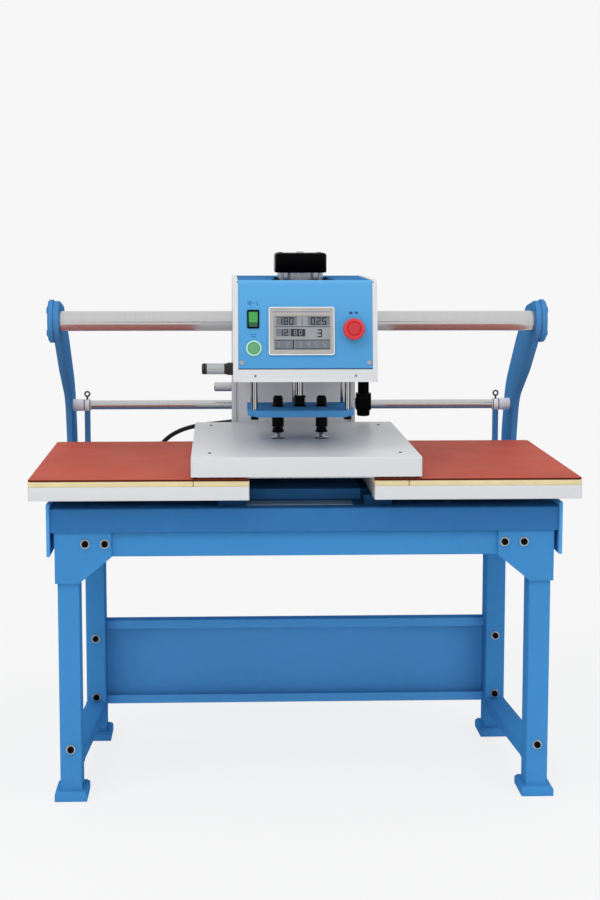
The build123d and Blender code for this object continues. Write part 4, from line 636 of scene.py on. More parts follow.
# Those of them that have a finish of their own and not their slot's: copies of the blues darkened as painted
# shade (cover, arms, deck, cross channel) and lightened as painted light (rear channel, end plates, cross
# plate)
OWN_FINISHES = {
    "top_cover": "cover_blue", "arm_left": "arm_blue", "arm_right": "arm_blue", "deck_tray": "deck_blue",
    "platen_bridge": "bridge_blue", "rear_panel": "rear_blue", "deck_ends": "rear_blue",
    "cross_plate": "cross_blue",
}

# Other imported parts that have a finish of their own
SPECIAL_FINISHES = {
    # column_panel takes the column grey with its painted light, arm_caps the arm blue with its painted shade
    "column_panel": "column_paint", "arm_caps": "arm_blue", "rod_spacers": "spacer_white",
    "rod_supports": "collar_paint", "rocker": "rocker_green", "guide_rods": "upright_chrome",
    "piston_rod": "upright_chrome", "suspension_studs": "upright_chrome", "button_bezel": "green_ring",
    "side_handle": "handle_grip", "deck_gland": "lead_rubber", "head_gland": "lead_rubber",
}


# Places on the sloping control panel
HEAD_FRONT = -0.350
SLOPE_BOTTOM = 0.804
PANEL_LEAN = 0.028
PANEL_RISE = 0.162
PANEL_RECESS = 0.001
slope = atan2(PANEL_LEAN, PANEL_RISE)
PANEL_OUT = np.array([0, -cos(slope), sin(slope)])
PANEL_UP = np.array([0, sin(slope), cos(slope)])


def on_panel(across, up, out=0.0):
    """Point on the control panel, from its lower middle."""
    foot = np.array([0, HEAD_FRONT, SLOPE_BOTTOM])
    return foot + np.array([1, 0, 0]) * across + PANEL_UP * up + PANEL_OUT * (out - PANEL_RECESS)


def panel_placed(rings, across, up, out=0.0):
    return placed(rings, on_panel(across, up, out), (1, 0, 0), PANEL_OUT)


class PressOperator:
    """What every operator here shares."""

    bl_options = {"REGISTER", "UNDO"}

    @property
    def sizes(self):
        return bpy.context.scene.heat_press_sizes

    @property
    def colours(self):
        return bpy.context.scene.heat_press_colours


class HEATPRESS_OT_finishes(PressOperator, bpy.types.Operator):
    """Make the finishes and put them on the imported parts"""

    bl_idname = "heatpress.finishes"
    bl_label = "Finishes"

    def execute(self, context):
        make_finishes(self.colours)
        for part in frame["record"]["subparts"]:
            node = frame["nodes"][part["node"]]
            finish = finish_of(SPECIAL_FINISHES.get(part["node"], part["material_slot"]))
            for holder in node.material_slots:
                holder.material = finish
        return {"FINISHED"}


class HEATPRESS_OT_steelwork(PressOperator, bpy.types.Operator):
    """Painted steel parts with softly rounded edges"""

    bl_idname = "heatpress.steelwork"
    bl_label = "Steelwork"

    def execute(self, context):
        for node, width in EASED_PARTS.items():
            eased(node, width, OWN_FINISHES.get(node))
        return {"FINISHED"}


LEAD_START_Y = 0.3445
LEAD_POINTS = (
    (-0.108, LEAD_START_Y, 0.644),
    (-0.108, 0.376, 0.643),
    (-0.112, 0.415, 0.6315),
    (-0.150, 0.444, 0.6235),
    (-0.238, 0.433, 0.615),
    (-0.296, 0.445, 0.577),
    (-0.3371, 0.427, 0.486),
    (-0.362, 0.436, 0.420),
    (-0.342, 0.444, 0.348),
    (-0.274, 0.462, 0.322),
    (-0.214, 0.490, 0.352),
    (-0.208, 0.508, 0.426),
    (-0.240, 0.508, 0.494),
    (-0.262, 0.468, 0.528),
    (-0.262, 0.4123, 0.528),
)


class HEATPRESS_OT_lead(PressOperator, bpy.types.Operator):
    """The black lead between the sliding head and the deck, with its two boots"""

    bl_idname = "heatpress.lead"
    bl_label = "Lead"

    def execute(self, context):
        line = bpy.data.curves.new("lead_route", "CURVE")
        line.dimensions = "3D"
        line.resolution_u = 10
        spline = line.splines.new("NURBS")
        spline.points.add(len(LEAD_POINTS) - 1)
        weighted = np.hstack([np.array(LEAD_POINTS), np.ones((len(LEAD_POINTS), 1))])
        spline.points.foreach_set("co", weighted.ravel())
        spline.order_u = 3
        spline.use_endpoint_u = True
        route = bpy.data.objects.new("lead_route", line)
        context.collection.objects.link(route)
        context.view_layer.update()
        drawn = bpy.data.meshes.new_from_object(route)
        path = np.empty(len(drawn.vertices) * 3)
        drawn.vertices.foreach_get("co", path)
        path = path.reshape(-1, 3)
        bpy.data.objects.remove(route)
        bpy.data.meshes.remove(drawn)
        if np.linalg.norm(path[0] - LEAD_POINTS[0]) > np.linalg.norm(path[-1] - LEAD_POINTS[0]):
            path = path[::-1]
        tube = Shells().add(tube_rings(path, self.sizes.lead_diameter / 2, 16))
        lead = tube.piece("lead_tube", "lead_rubber", None, "lead_rubber", ["lead"], 80)
        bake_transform(lead)
        for name, body, node, place in (
            ("lead_boot_head", "carriage", "head_gland", (-0.108, 0.3325, 0.644)),
            ("lead_boot_deck", "stand", "deck_gland", (-0.262, 0.400, 0.528)),
        ):
            self.boot(name, body, node, place)
        return {"FINISHED"}

    def boot(self, name, body, node, place):
        """Tapered ribbed sleeve: the radius falls in a line from flange to tip, with a small wave on it."""
        length = self.sizes.boot_length
        along = np.linspace(0.0035, length, 34)
        share = (along - along[0]) / (length - along[0])
        radius = 0.0098 - 0.0040 * share + 0.0006 * np.cos(share * pi * 2 * 6) * (1 - share)
        flange = mm((10.7, 0), (11.2, 0.4), (11.2, 3), (10.6, 3.5))
        profile = flange + list(zip(radius, along)) + [(0.0052, length), (0.0050, length - 0.002)]
        boot = Shells().turn(profile, 32, place, X_AXIS, Y_AXIS)
        boot.piece(name, "lead_rubber", body, "lead_rubber", [node], 60)


class HEATPRESS_OT_boards(PressOperator, bpy.types.Operator):
    """Cream sponge boards in the white platen trays"""

    bl_idname = "heatpress.boards"
    bl_label = "Boards"

    def execute(self, context):
        for side in ("left", "right"):
            low, high = (np.array(corner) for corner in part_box(f"pad_{side}"))
            tray_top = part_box(f"platen_base_{side}")[1][2]
            if side == "left":
                sign, inner, outer, width = -1, high[0], low[0], 0.102
            else:
                sign, inner, outer, width = 1, low[0], high[0], 0.063
            joint = inner + sign * width
            shells = Shells()
            for near, far in ((inner, joint - sign * 0.0007), (joint, outer)):
                shells.add(self.board(near, far, low, high, tray_top))
            boards = shells.piece(f"boards_{side}", "pad_cream", "stand", "pad_cream", [f"pad_{side}"], 50)
        return {"FINISHED"}

    def board(self, near, far, low, high, tray_top):
        """Board with rounded edges: rings step in by e(1 - cos t) and up by e sin t at the top edge, where e
        is the rounding."""
        e = self.sizes.board_rounding
        t = np.linspace(0, pi / 2, 5)
        top = [(e * (1 - cos(a)), high[2] - e + e * sin(a)) for a in t]
        levels = [(0.0042, low[2] + 0.0002), (0.0042, tray_top - 0.0002)]
        levels += [(0.0006, tray_top + 0.0001), (0.0, tray_top + 0.0012)] + top
        rings = plate_rings(abs(far - near), high[1] - low[1] - 0.0006, 0.0022, levels, 4)
        middle = np.array([(near + far) / 2, (low[1] + high[1]) / 2, 0])
        return rings + middle


class HEATPRESS_OT_mats(PressOperator, bpy.types.Operator):
    """Red silicone mats that lie on the boards"""

    bl_idname = "heatpress.mats"
    bl_label = "Mats"

    def execute(self, context):
        for side in ("left", "right"):
            low, high = (np.array(corner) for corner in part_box(f"mat_{side}"))
            board_low, board_high = (np.array(corner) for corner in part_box(f"pad_{side}"))
            low[:2], high[:2] = board_low[:2] + 0.0002, board_high[:2] - 0.0002
            width, depth = (high - low)[:2]
            e, thick = 0.0009, high[2] - low[2]
            levels = [(0.0006, 0.00005), (0.0, 0.0006), (0.0, thick - e)]
            levels += [(e * (1 - cos(a)), thick - e + e * sin(a)) for a in np.linspace(0.3, pi / 2, 4)]
            levels += [(inset, thick) for inset in (0.006, 0.03, 0.08, 0.13, 0.17)]
            rings = plate_rings(width, depth, 0.0075, levels, 10)
            rings[..., 2] -= self.sizes.mat_sag * self.waves(rings) * (rings[..., 2] > 0.003)
            rings += middle_of(low, high, low[2])
            sheet = Shells().add(rings)
            mat = sheet.piece(f"mat_sheet_{side}", "mat_red", "stand", "mat_red", [f"mat_{side}"], 50)
        return {"FINISHED"}

    def waves(self, rings):
        """Faint waves from 0 to 1: half of one plus the mean of two slow sines that cross."""
        x, y = rings[..., 0], rings[..., 1]
        return 0.5 + 0.25 * (np.sin(x * 31 + y * 9) + np.sin(y * 23 - x * 7))


class HEATPRESS_OT_welds(PressOperator, bpy.types.Operator):
    """Weld beads round the feet of the legs and at the ends of the braces"""

    bl_idname = "heatpress.welds"
    bl_label = "Welds"

    def execute(self, context):
        radius = self.sizes.weld_width / 2
        shells = Shells()
        foot_top = 0.018
        for x, y in ((-0.437, -0.320), (0.437, -0.320), (-0.417, 0.085), (0.417, 0.085)):
            loop = plate_rings(0.040 + radius, 0.060 + radius, 0.004, [(0.0, foot_top + radius * 0.4)], 5)[0]
            loop = np.vstack([loop, loop[:1]]) + np.array([x, y, 0])
            shells.add(self.bead(loop, radius), False)
        for side in SIDES:
            for x, y in ((0.437, -0.290), (0.417, 0.055)):
                loop = plate_rings(0.041, 0.025, 0.003, [(0.0, 0.0)], 5)[0]
                loop = np.vstack([loop, loop[:1]])
                loop = placed(loop, (side * x, y, 0.068), (1, 0, 0), (0, 1, 0))
                shells.add(self.bead(loop, radius * 0.8), False)
        shells.piece("weld_beads", "stand_blue", "stand", "stand_blue", (), 70)
        return {"FINISHED"}

    def bead(self, path, radius):
        """Bead along a closed path: its radius swells by a tenth at every ripple of about 2 mm."""
        run = np.linalg.norm(np.diff(path, axis=0), axis=1)
        along = np.concatenate([[0], np.cumsum(run)])
        count = int(along[-1] / 0.0012)
        even = np.linspace(0, along[-1], count)
        fine = np.stack([np.interp(even, along, path[:, k]) for k in range(3)], -1)
        return tube_rings(fine, radius * (1 + 0.12 * np.sin(even * 2 * pi / 0.0023)), 8)


# Bolts of the stand: where each head's seat is and which way it faces
BOSS_Y, BOSS_Z, BOSS_CIRCLE = -0.012, 0.876, 0.031
STAND_BOLTS = (
    [((side * x, -0.356, 0.4847), FORWARD) for side in SIDES for x in (0.369, 0.405)]
    + [((side * 0.437, -0.350, 0.096), FORWARD) for side in SIDES]
    + [((side * 0.417, 0.055, z), FORWARD) for side in SIDES for z in (0.090, 0.214)]
    + [
        ((side * 0.487, 0.3175 + y, z), (side, 0, 0))
        for side in SIDES for y in (-0.045, 0.045) for z in (0.486, 0.534)
    ]
    + [
        ((side * 0.497, BOSS_Y + BOSS_CIRCLE * cos(a), BOSS_Z + BOSS_CIRCLE * sin(a)), (side, 0, 0))
        for side in SIDES for a in map(radians, (45, 135, 225, 315))
    ]
)


class HEATPRESS_OT_bolts(PressOperator, bpy.types.Operator):
    """Black socket bolts on bright washers, as one group on the stand"""

    bl_idname = "heatpress.bolts"
    bl_label = "Stand bolts"

    def execute(self, context):
        washers, heads, painted = Shells(), Shells(), Shells()
        sides = self.sizes.turned_sides
        washer = turned_rings(mm((4, 0), (8.6, 0), (8.9, 0.3), (8.9, 1.3), (8.6, 1.6), (4, 1.6)), sides)
        head = mm((4, 0.2), (5.8, 1.6), (6.2, 1.9), (6.3, 4.8), (6, 5.8), (5.4, 6.3))
        head += mm((3.4, 6.4), (3.1, 6.2), (3, 3.5), (0.2, 3.1))
        head = turned_rings(head, sides)
        for seat, out in STAND_BOLTS:
            across = X_AXIS if out[1] else Y_AXIS
            on_boss = abs(seat[0]) > 0.495
            low_washer, low_head = (0.5, 0.4) if on_boss else (1, 1)
            (painted if on_boss else washers).add(placed(washer * (1, 1, low_washer), seat, across, out))
            (painted if on_boss else heads).add(placed(head * (1, 1, low_head), seat, across, out))
        # the boss bolts take the arm blue and its painted shade
        painted.piece("boss_bolt_heads", "arm_blue", "stand", "stand_blue", (), 30)
        washers.piece("stand_washers", "zinc_steel", "stand", "zinc_steel", ["stand_bolts"], 30)
        heads.piece("stand_bolt_heads", "black_steel", "stand", "black_steel", (), 30)
        return {"FINISHED"}


def cross_screw(radius, height, slot_half, sides):
    """Pan head with a cross recess: the radius follows a quarter ellipse, and where the angle is near an
    arm of the cross the middle points are sunk."""
    t = np.linspace(0, pi / 2, 9)
    profile = [(radius * cos(a), height * sin(a)) for a in t[:-1]] + [(radius * 0.12, height * 0.995)]
    rings = turned_rings([(radius * 0.9, -0.0004)] + profile, sides)
    x, y = rings[..., 0], rings[..., 1]
    arm = (np.minimum(abs(x), abs(y)) < slot_half) & (np.hypot(x, y) < radius * 0.62)
    rings[..., 2] -= np.where(arm, height * 0.55, 0)
    return rings


class HEATPRESS_OT_screws(PressOperator, bpy.types.Operator):
    """Small cross-head screws of the panel, the front bar and the heater cover"""

    bl_idname = "heatpress.screws"
    bl_label = "Small screws"

    def execute(self, context):
        bright, dark, cover = Shells(), Shells(), Shells()
        for side in SIDES:
            bright.add(panel_placed(cross_screw(0.0046, 0.0024, 0.0006, 48), side * 0.1165, 0.013))
            seat = (side * 0.092, HEAD_FRONT, 0.7925)
            dark.add(placed(cross_screw(0.0022, 0.0009, 0.0004, 36), seat, X_AXIS, FORWARD))
            for y in (-0.335, 0.145):
                cover.add(placed(cross_screw(0.0034, 0.0015, 0.0005, 36), (side * 0.176, y, 0.649)))
        bright.piece("panel_screw_heads", "upright_chrome", "carriage", "zinc_steel", ["panel_screws"], 35)
        dark.piece("bar_screw_heads", "bush_steel", "carriage", "zinc_steel", (), 35)
        cover.piece("cover_screw_heads", "black_steel", "press_head", "zinc_steel", ["cover_screws"], 35)
        return {"FINISHED"}


RAM_Y = -0.095
STUD_X = 0.043
GUIDE_PLACES = [(side_x * 0.090, RAM_Y + side_y * 0.068) for side_x in SIDES for side_y in SIDES]


class HEATPRESS_OT_nuts(PressOperator, bpy.types.Operator):
    """Black nuts, caps and bolt heads of the pressing head"""

    bl_idname = "heatpress.nuts"
    bl_label = "Pressing head nuts"

    def execute(self, context):
        sides = self.sizes.turned_sides
        cap = mm((6.1, 712), (11.2, 712), (11.9, 712.4), (11.9, 714.2), (10.6, 715.4), (10.1, 717))
        cap += mm((10, 726.2), (9.6, 729.2), (8.6, 731.6), (7.2, 733.1), (6.1, 733.8))
        lower = mm((6.2, 699), (11.6, 699), (11.9, 698.6), (11.9, 690.5), (11.4, 689.8), (11.4, 689.2))
        lower += mm((11.9, 688.5), (11.9, 672.8), (11.2, 672.1), (6.2, 672.1))
        flange = mm((6.2, 670.8), (9.8, 670.8), (10.4, 670), (10.6, 666), (11.8, 664.8), (12, 664))
        flange += mm((12, 662.2), (11.5, 661.2), (6.2, 661.2))
        shells = Shells()
        for side in SIDES:
            for profile in (cap, lower, flange):
                shells.turn(profile, sides, (side * STUD_X, RAM_Y, 0), closed=True)
        nut = mm((8.4, 712), (11.9, 712), (12, 712.4), (12, 716), (10.4, 717.2), (10.1, 729), (11.4, 730))
        nut += mm((11.7, 731.6), (11.2, 733.2), (9.8, 733.9), (7.2, 733.9), (7.2, 712))
        shells.turn(nut, sides, (0, RAM_Y, 0), closed=True)
        head = mm((0.4, 699), (11.8, 699), (12, 698.6), (12, 695), (11.2, 693.4), (6, 693.1), (0.4, 693.1))
        shells.turn(head, sides, (0, RAM_Y, 0))
        bolt = mm((0.4, 699), (6.8, 699), (7.8, 698.7), (7.9, 694.2), (7.2, 693.2), (3.4, 693.1))
        bolt += mm((3.2, 695), (0.4, 695.2))
        for x, y in GUIDE_PLACES:
            shells.turn(bolt, 24, (x, y, 0))
        shells.piece("pressing_nuts", "black_steel", "press_head", "black_steel", ["head_nuts"], 35)
        self.studs()
        return {"FINISHED"}

    def studs(self):
        """Stud: its radius swells and narrows once per thread turn, on a washer with a dark seal."""
        studs, seals = Shells(), Shells()
        low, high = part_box("suspension_studs")
        top, foot = high[2], low[2]
        h = np.arange(0.6535, 0.6985, 0.00025)
        thread = [(0.00595 - 0.00022 * (0.5 + 0.5 * cos(2 * pi * z / 0.00125)), z) for z in h]
        profile = [(0.0004, foot), (0.0058, foot)]
        profile += mm((5.8, 649.2), (11.8, 649.4), (12.7, 649.8), (12.9, 650.4), (12.9, 652), (12.4, 652.8))
        profile += mm((6, 653)) + thread
        profile += [(0.0059, 0.7115), (0.0059, top - 0.0012), (0.0047, top), (0.0004, top)]
        seal = mm((10, 649.1), (13.1, 649.1), (13.4, 649.5), (13.4, 650), (13, 650.3), (10, 650.3))
        for side in SIDES:
            studs.turn(profile, 40, (side * STUD_X, RAM_Y, 0))
            seals.turn(seal, 40, (side * STUD_X, RAM_Y, 0), closed=True)
        studs.piece("threaded_studs", "upright_chrome", "press_head", "chrome", ["suspension_studs"], 25)
        seals.piece("stud_seals", "black_steel", "press_head", "black_steel", (), 35)


class HEATPRESS_OT_cylinder_cap(PressOperator, bpy.types.Operator):
    """Black cap of the air cylinder, with its four screws and air port"""

    bl_idname = "heatpress.cylinder_cap"
    bl_label = "Cylinder cap"

    def execute(self, context):
        low, high = (np.array(corner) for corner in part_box("cylinder_cap"))
        t = np.linspace(0, pi / 2, 7)
        edge = 0.0055
        levels = [(0.0030, low[2]), (0.0008, low[2] + 0.0006), (0.0, low[2] + 0.0020), (0.0, high[2] - edge)]
        levels += [(edge * (1 - cos(a)), high[2] - edge + edge * sin(a)) for a in t[1:]]
        levels += [(inset, high[2]) for inset in (0.008, 0.0112)]
        rings = plate_rings(*(high - low)[:2], 0.0135, levels, 8)
        middle = middle_of(low, high)
        cap = Shells().add(rings + middle)
        cap.piece("cap_moulding", "black_cap", "carriage", "black_cap", ["cylinder_cap"], 35)
        screws, port = Shells(), Shells()
        head = mm((0.4, 0.1), (2.4, 0.1), (2.6, 0.6), (4.4, 0.7), (4.9, 0.4), (5, -0.2))
        for x in (-0.038, 0.038):
            for y in (-0.038, 0.038):
                screws.turn(head, 28, (middle[0] + x, middle[1] + y, high[2]))
        screws.piece("cap_screws", "black_steel", "carriage", "black_steel", (), 35)
        plug = mm((0.4, 1.2), (4, 1.2), (4.2, 2.1), (6.8, 2.2), (7.3, 1.7), (7.4, -0.2))
        port.turn(plug, 32, (middle[0], middle[1], high[2]))
        port.piece("cap_plug", "aluminium", "carriage", "aluminium", (), 35)
        return {"FINISHED"}


class HEATPRESS_OT_deck_plate(PressOperator, bpy.types.Operator):
    """Thin grey plate let into the deck between the platens, its pale colour lifted as painted light in the
    shade under them
    """

    bl_idname = "heatpress.deck_plate"
    bl_label = "Deck plate"

    def execute(self, context):
        levels = [(0.0, 0.0), (0.0, 0.0008), (0.0005, 0.0012), (0.003, 0.0012)]
        rings = plate_rings(0.200, 0.052, 0.002, levels, 3) + np.array([-0.010, -0.298, 0.550])
        Shells().add(rings).piece("deck_strip", "deck_plate", "stand", "stand_blue", (), 35)
        return {"FINISHED"}


class HEATPRESS_OT_rings(PressOperator, bpy.types.Operator):
    """Dark split rings of the stop collars on the guide rod"""

    bl_idname = "heatpress.rings"
    bl_label = "Collar rings"

    def execute(self, context):
        rings = Shells()
        band = mm((11.9, -0.9), (12.15, -0.9), (12.4, -0.5), (12.4, 0.5), (12.15, 0.9), (11.9, 0.9))
        for side in SIDES:
            for x in (0.4385, 0.4505):
                rings.turn(band, 48, (side * x, 0.280, 0.680), Y_AXIS, X_AXIS, closed=True)
        rings.piece("collar_rings", "black_steel", "stand", "black_steel", (), 35)
        return {"FINISHED"}


class HEATPRESS_OT_eyes(PressOperator, bpy.types.Operator):
    """Eye screws of the stop collars"""

    bl_idname = "heatpress.eyes"
    bl_label = "Eye screws"

    def execute(self, context):
        """Ring: a round wire carried round a circle. Shank: a radius that swells once per thread turn."""
        turn = np.linspace(0, 2 * pi, 37)
        height = np.arange(0.6925, 0.6978, 0.0002)
        thread = [(0.0023 + 0.0002 * cos(2 * pi * z / 0.001), z) for z in height]
        shank = mm((0.3, 689), (2.4, 689), (2.4, 692)) + thread
        shank += mm((4.4, 698), (4.6, 698.6), (4.4, 699.2), (2.1, 699.6), (0.3, 699.7))
        ring = np.stack([0.0050 * np.cos(turn), 0 * turn, 0.0050 * np.sin(turn)], -1)
        for name, side in (("left", -1), ("right", 1)):
            middle = np.array([side * 0.4445, 0.280, 0.7040])
            shells = Shells().add(tube_rings(ring + middle, 0.0019, 16), False)
            shells.turn(shank, 32, (side * 0.4445, 0.280, 0))
            shells.piece(f"eye_{name}_wire", "eye_steel", f"eye_{name}", "chrome", [f"eye_screw_{name}"], 40)
        return {"FINISHED"}


SEGMENTS = {
    "0": "abcdef", "1": "bc", "2": "abged", "3": "abgcd", "4": "fgbc",
    "5": "afgcd", "6": "afgedc", "7": "abc", "8": "abcdefg", "9": "abcdfg",
}
SEGMENT_PLACES = {
    "a": (0, 1, 1), "b": (0.5, 0.5, 0), "c": (0.5, -0.5, 0), "d": (0, -1, 1),
    "e": (-0.5, -0.5, 0), "f": (-0.5, 0.5, 0), "g": (0, 0, 1),
}

# The display's shaded fields and ruled lines: middle, width and height, in millimetres
FIELDS = (
    (-28.5, 21.5, 38, 15), (30, 21.5, 40, 15), (-26.5, 1, 42, 14), (-33, -21.2, 35, 17.5),
    (18.5, -21.2, 64, 17.5),
)
RULES = (
    (0, 11.5, 100, 1.3), (-7.5, 0.5, 26, 13.5), (-33, -13, 35, 1.4), (18.5, -13, 64, 1.4),
    (-33, -29.2, 35, 1.4), (18.5, -29.2, 64, 1.4), (-16, -21.2, 2.4, 17.5), (0, 21.5, 1, 15),
    (-28.5, 29.2, 38, 1), (30, 29.2, 40, 1),
)
# Dark and light numbers: text, then middle and size in millimetres
DARK_NUMBERS = (
    ("180", (-30, 21.5, 5.8)), ("025", (30, 21.5, 5.8)), ("12", (-34, 0.5, 5.2)), ("3", (32, -0.5, 6.2)),
)
LIGHT_NUMBERS = (
    ("8", (-12.5, 0.5, 4.2)), ("0", (-3, 0.5, 4.2)), ("1", (-44, -21.2, 4.8)), ("2", (-26, -21.2, 4.8)),
    ("3", (-4, -21.2, 4.8)), ("4", (11, -21.2, 4.8)), ("5", (26, -21.2, 4.8)), ("6", (41, -21.2, 4.8)),
)


class HEATPRESS_OT_display(PressOperator, bpy.types.Operator):
    """Display with plain numbers in a ruled grid, and its ivory surround"""

    bl_idname = "heatpress.display"
    bl_label = "Display"

    def execute(self, context):
        surround = Shells().add(self.frame_rings(0.120, 0.088, 0.103, 0.062), False)
        nodes = ["display_bezel"]
        surround.piece("display_surround", "bezel_plastic", "carriage", "bezel_plastic", nodes, 40)
        ground = plate_rings(0.104, 0.063, 0.0012, mm((0, 0), (0, 1.2), (0.2, 1.3)), 3)
        glass = Shells().add(panel_placed(ground, *self.glass))
        glass.piece("display_ground", "display_glass", "carriage", "bezel_plastic", (), 40)
        border = Shells().add(self.border_rings(0.1202, 0.0882, 0.0013), False)
        border.piece("display_edge", "bright_edge", "carriage", "bezel_plastic", (), 40)
        figures, shading, reversed_out = Shells(), Shells(), Shells()
        for field in mm(*FIELDS):
            self.bar(shading, *field, -0.00004)
        for text, place in DARK_NUMBERS:
            self.number(figures, text, *mm(place)[0], 0.36)
        for rule in mm(*RULES):
            self.bar(figures, *rule)
        for text, place in LIGHT_NUMBERS:
            self.number(reversed_out, text, *mm(place)[0], 0.24, 0.00006)
        rings = plate_rings(0.106, 0.0008, 0.0002, mm((0, 2.8), (0, 3.12)), 2)
        line = Shells().add(panel_placed(rings, self.middle[0], self.middle[1] + 0.0350))
        for shells, name, finish in (
            (figures, "display_figures", "display_ink"),
            (shading, "display_shading", "display_shade"),
            (reversed_out, "display_light_figures", "display_glass"),
            (line, "display_line", "marking_ink"),
        ):
            shells.piece(name, finish, "carriage", "bezel_plastic", (), 40)
        return {"FINISHED"}

    middle = (-0.007, 0.0705)
    glass = (-0.006, 0.0670)

    def frame_rings(self, width, height, inner_width, inner_height):
        """Picture-frame surface: rings run up the outer wall, over a rounded face and down the inner wall."""
        outer = plate_rings(width, height, 0.004, mm((0, 0), (0, 2), (0.4, 2.8), (1.1, 3)), 5)
        levels = mm((-1.6, 3), (-1, 2.8), (0, 1.8), (0, 0.2))
        shift = np.array([self.glass[0] - self.middle[0], self.glass[1] - self.middle[1], 0])
        inner = plate_rings(inner_width, inner_height, 0.0014, levels, 5) + shift
        return panel_placed(np.concatenate([outer, inner, outer[:1]]), *self.middle)

    def border_rings(self, width, height, band):
        """Thin raised edging: rings run up its outer wall, across its band and down its inner wall."""
        levels = mm((0, 2.4), (0, 3.25), (0.3, 3.4))
        levels += [(band - 0.0003, 0.0034), (band, 0.0032), (band, 0.0024)]
        rings = plate_rings(width, height, 0.004, levels, 5)
        return panel_placed(np.concatenate([rings, rings[:1]]), *self.middle)

    def bar(self, shells, x, y, width, height, lift=0.0):
        levels = [(0, 0.0012), (0, 0.00140 + lift)]
        rings = plate_rings(width, height, min(width, height, 0.002) * 0.2, levels, 2)
        shells.add(panel_placed(rings, self.glass[0] + x, self.glass[1] + y))

    def number(self, shells, text, x, y, size, weight, lift=0.0):
        """Seven-stroke figures: each stroke is a bar half a figure long and weight figures wide."""
        for k, figure in enumerate(text):
            centre = x + (k - (len(text) - 1) / 2) * size * 1.75
            for stroke in SEGMENTS[figure]:
                across, up, flat = SEGMENT_PLACES[stroke]
                w, h = (size * (1 + weight), size * weight) if flat else (size * weight, size * (1 + weight))
                self.bar(shells, centre + across * size, y + up * size, w, h, lift)


# Plain marks beside the switches and the seams of the panel: middle, width and height, in millimetres
MARKS = (
    (-104.5, 122, 1.2, 6.2), (-100.5, 124.6, 3.4, 1.1), (-100.5, 119.4, 3.4, 1.1), (-101.8, 122, 1, 5.8),
    (-99.2, 122, 1, 5.8), (-94.5, 122, 3.4, 1.1), (-88.5, 122, 1.2, 6.2), (-86.8, 119.6, 3, 1.1),
    (-98.5, 64.5, 5, 1.2), (-91.5, 64.5, 3.4, 1.2), (-94.5, 60.5, 8, 1.2), (83.5, 104, 6, 4.4),
    (93.5, 104, 5, 4),
)
SEAMS = ((-124.3, 81.5, 1.8, 161), (124.3, 81.5, 1.8, 161), (0, 1.4, 249.4, 1.4))
START_PLACE = (-0.0945, 0.039)
STOP_PLACE = (0.088, 0.0725)


class HEATPRESS_OT_switches(PressOperator, bpy.types.Operator):
    """Start button, emergency stop and the plain marks beside them"""

    bl_idname = "heatpress.switches"
    bl_label = "Switches"

    def execute(self, context):
        green = mm((11.2, 0), (14.3, 0), (14.6, 0.6), (14.3, 2.2), (13.4, 3.3), (12.4, 3.5), (11.4, 3))
        self.turned(green, START_PLACE, "start_ring", "green_ring", "carriage", "bezel_plastic",
            ["button_bezel"], True)
        cap = mm((10.6, -18), (10.7, 3), (10.3, 3.6), (9, 3.8), (8.4, 3.4), (6, 3.8), (3, 4.1), (0.4, 4.2))
        self.turned(cap, START_PLACE, "start_cap", "button_green", "start_key", "green_plastic",
            ["start_button"])
        base = 0.0081
        rim = mm((3.8, 0), (15, 0), (18.8, 0.8), (19.9, 3), (20, 6), (19.4, 9), (17.8, 11.4), (16, 12.6))
        rim += mm((14.6, 12.9), (13.7, 12.6), (13.3, 11.2), (12.6, 10.4), (0.4, 10.4))
        self.turned([(r, base + h) for r, h in rim], STOP_PLACE, "stop_mushroom", "red_plastic",
            "estop_mushroom", "red_plastic", ["estop_head"])
        disc = mm((11.8, 9.8), (11.9, 11), (11.4, 11.7), (7, 12.4), (6.4, 12.1), (3, 12.5), (0.4, 12.6))
        self.turned([(r, base + h) for r, h in disc], STOP_PLACE, "stop_disc", "red_disc",
            "estop_mushroom", "red_plastic")
        self.strokes(MARKS, 0.0004, (0, 0.18), "panel_marks", "marking_ink")
        self.strokes(SEAMS, 0.0003, (-0.2, 0.3), "panel_seams", "seam_shade")
        return {"FINISHED"}

    def turned(self, profile, place, name, finish, body, slot, nodes=(), closed=False):
        """Turned piece that stands on the panel."""
        shell = Shells().turn(profile, 56, on_panel(*place), X_AXIS, PANEL_OUT, closed)
        shell.piece(name, finish, body, slot, nodes, 50)

    def strokes(self, rows, corner, span, name, finish):
        """Flat strokes on the panel, from the lower to the upper of two heights in millimetres."""
        shells = Shells()
        for x, y, width, height in mm(*rows):
            rings = plate_rings(width, height, corner, mm((0, span[0]), (0, span[1])), 2)
            shells.add(panel_placed(rings, x, y))
        shells.piece(name, finish, "carriage", "panel_blue", (), 40)


PALE = (*ink(247, 247, 247), 1)  # colour of the floor and the surroundings, as the camera sees them


LAMPS = (  # name, place, target, size in metres and power in watts
    ("key_lamp", (-1.5, -2.3, 3.5), (0, -0.1, 0.6), 2.2, 47),
    ("fill_lamp", (2.4, -2.8, 2.2), (0, 0, 0.6), 2.6, 17),
    ("low_lamp", (-1.0, -4.6, 0.6), (0, 0, 0.3), 1.6, 18),
    ("top_lamp", (1.1, -0.6, 3.2), (0, 0, 0.7), 2.2, 12),
    ("back_lamp", (-1.4, 2.8, 2.0), (0, 0, 0.7), 1.8, 16),
)
CAMERA_PLACE = (-0.15196, -3.64507, 1.05538)
CAMERA_TURN = (2.4605, 6.9027, 0.0584)  # yaw, pitch down and roll, in degrees
CAMERA_LENS = 72.44
FLOOR_HALF = 14.0


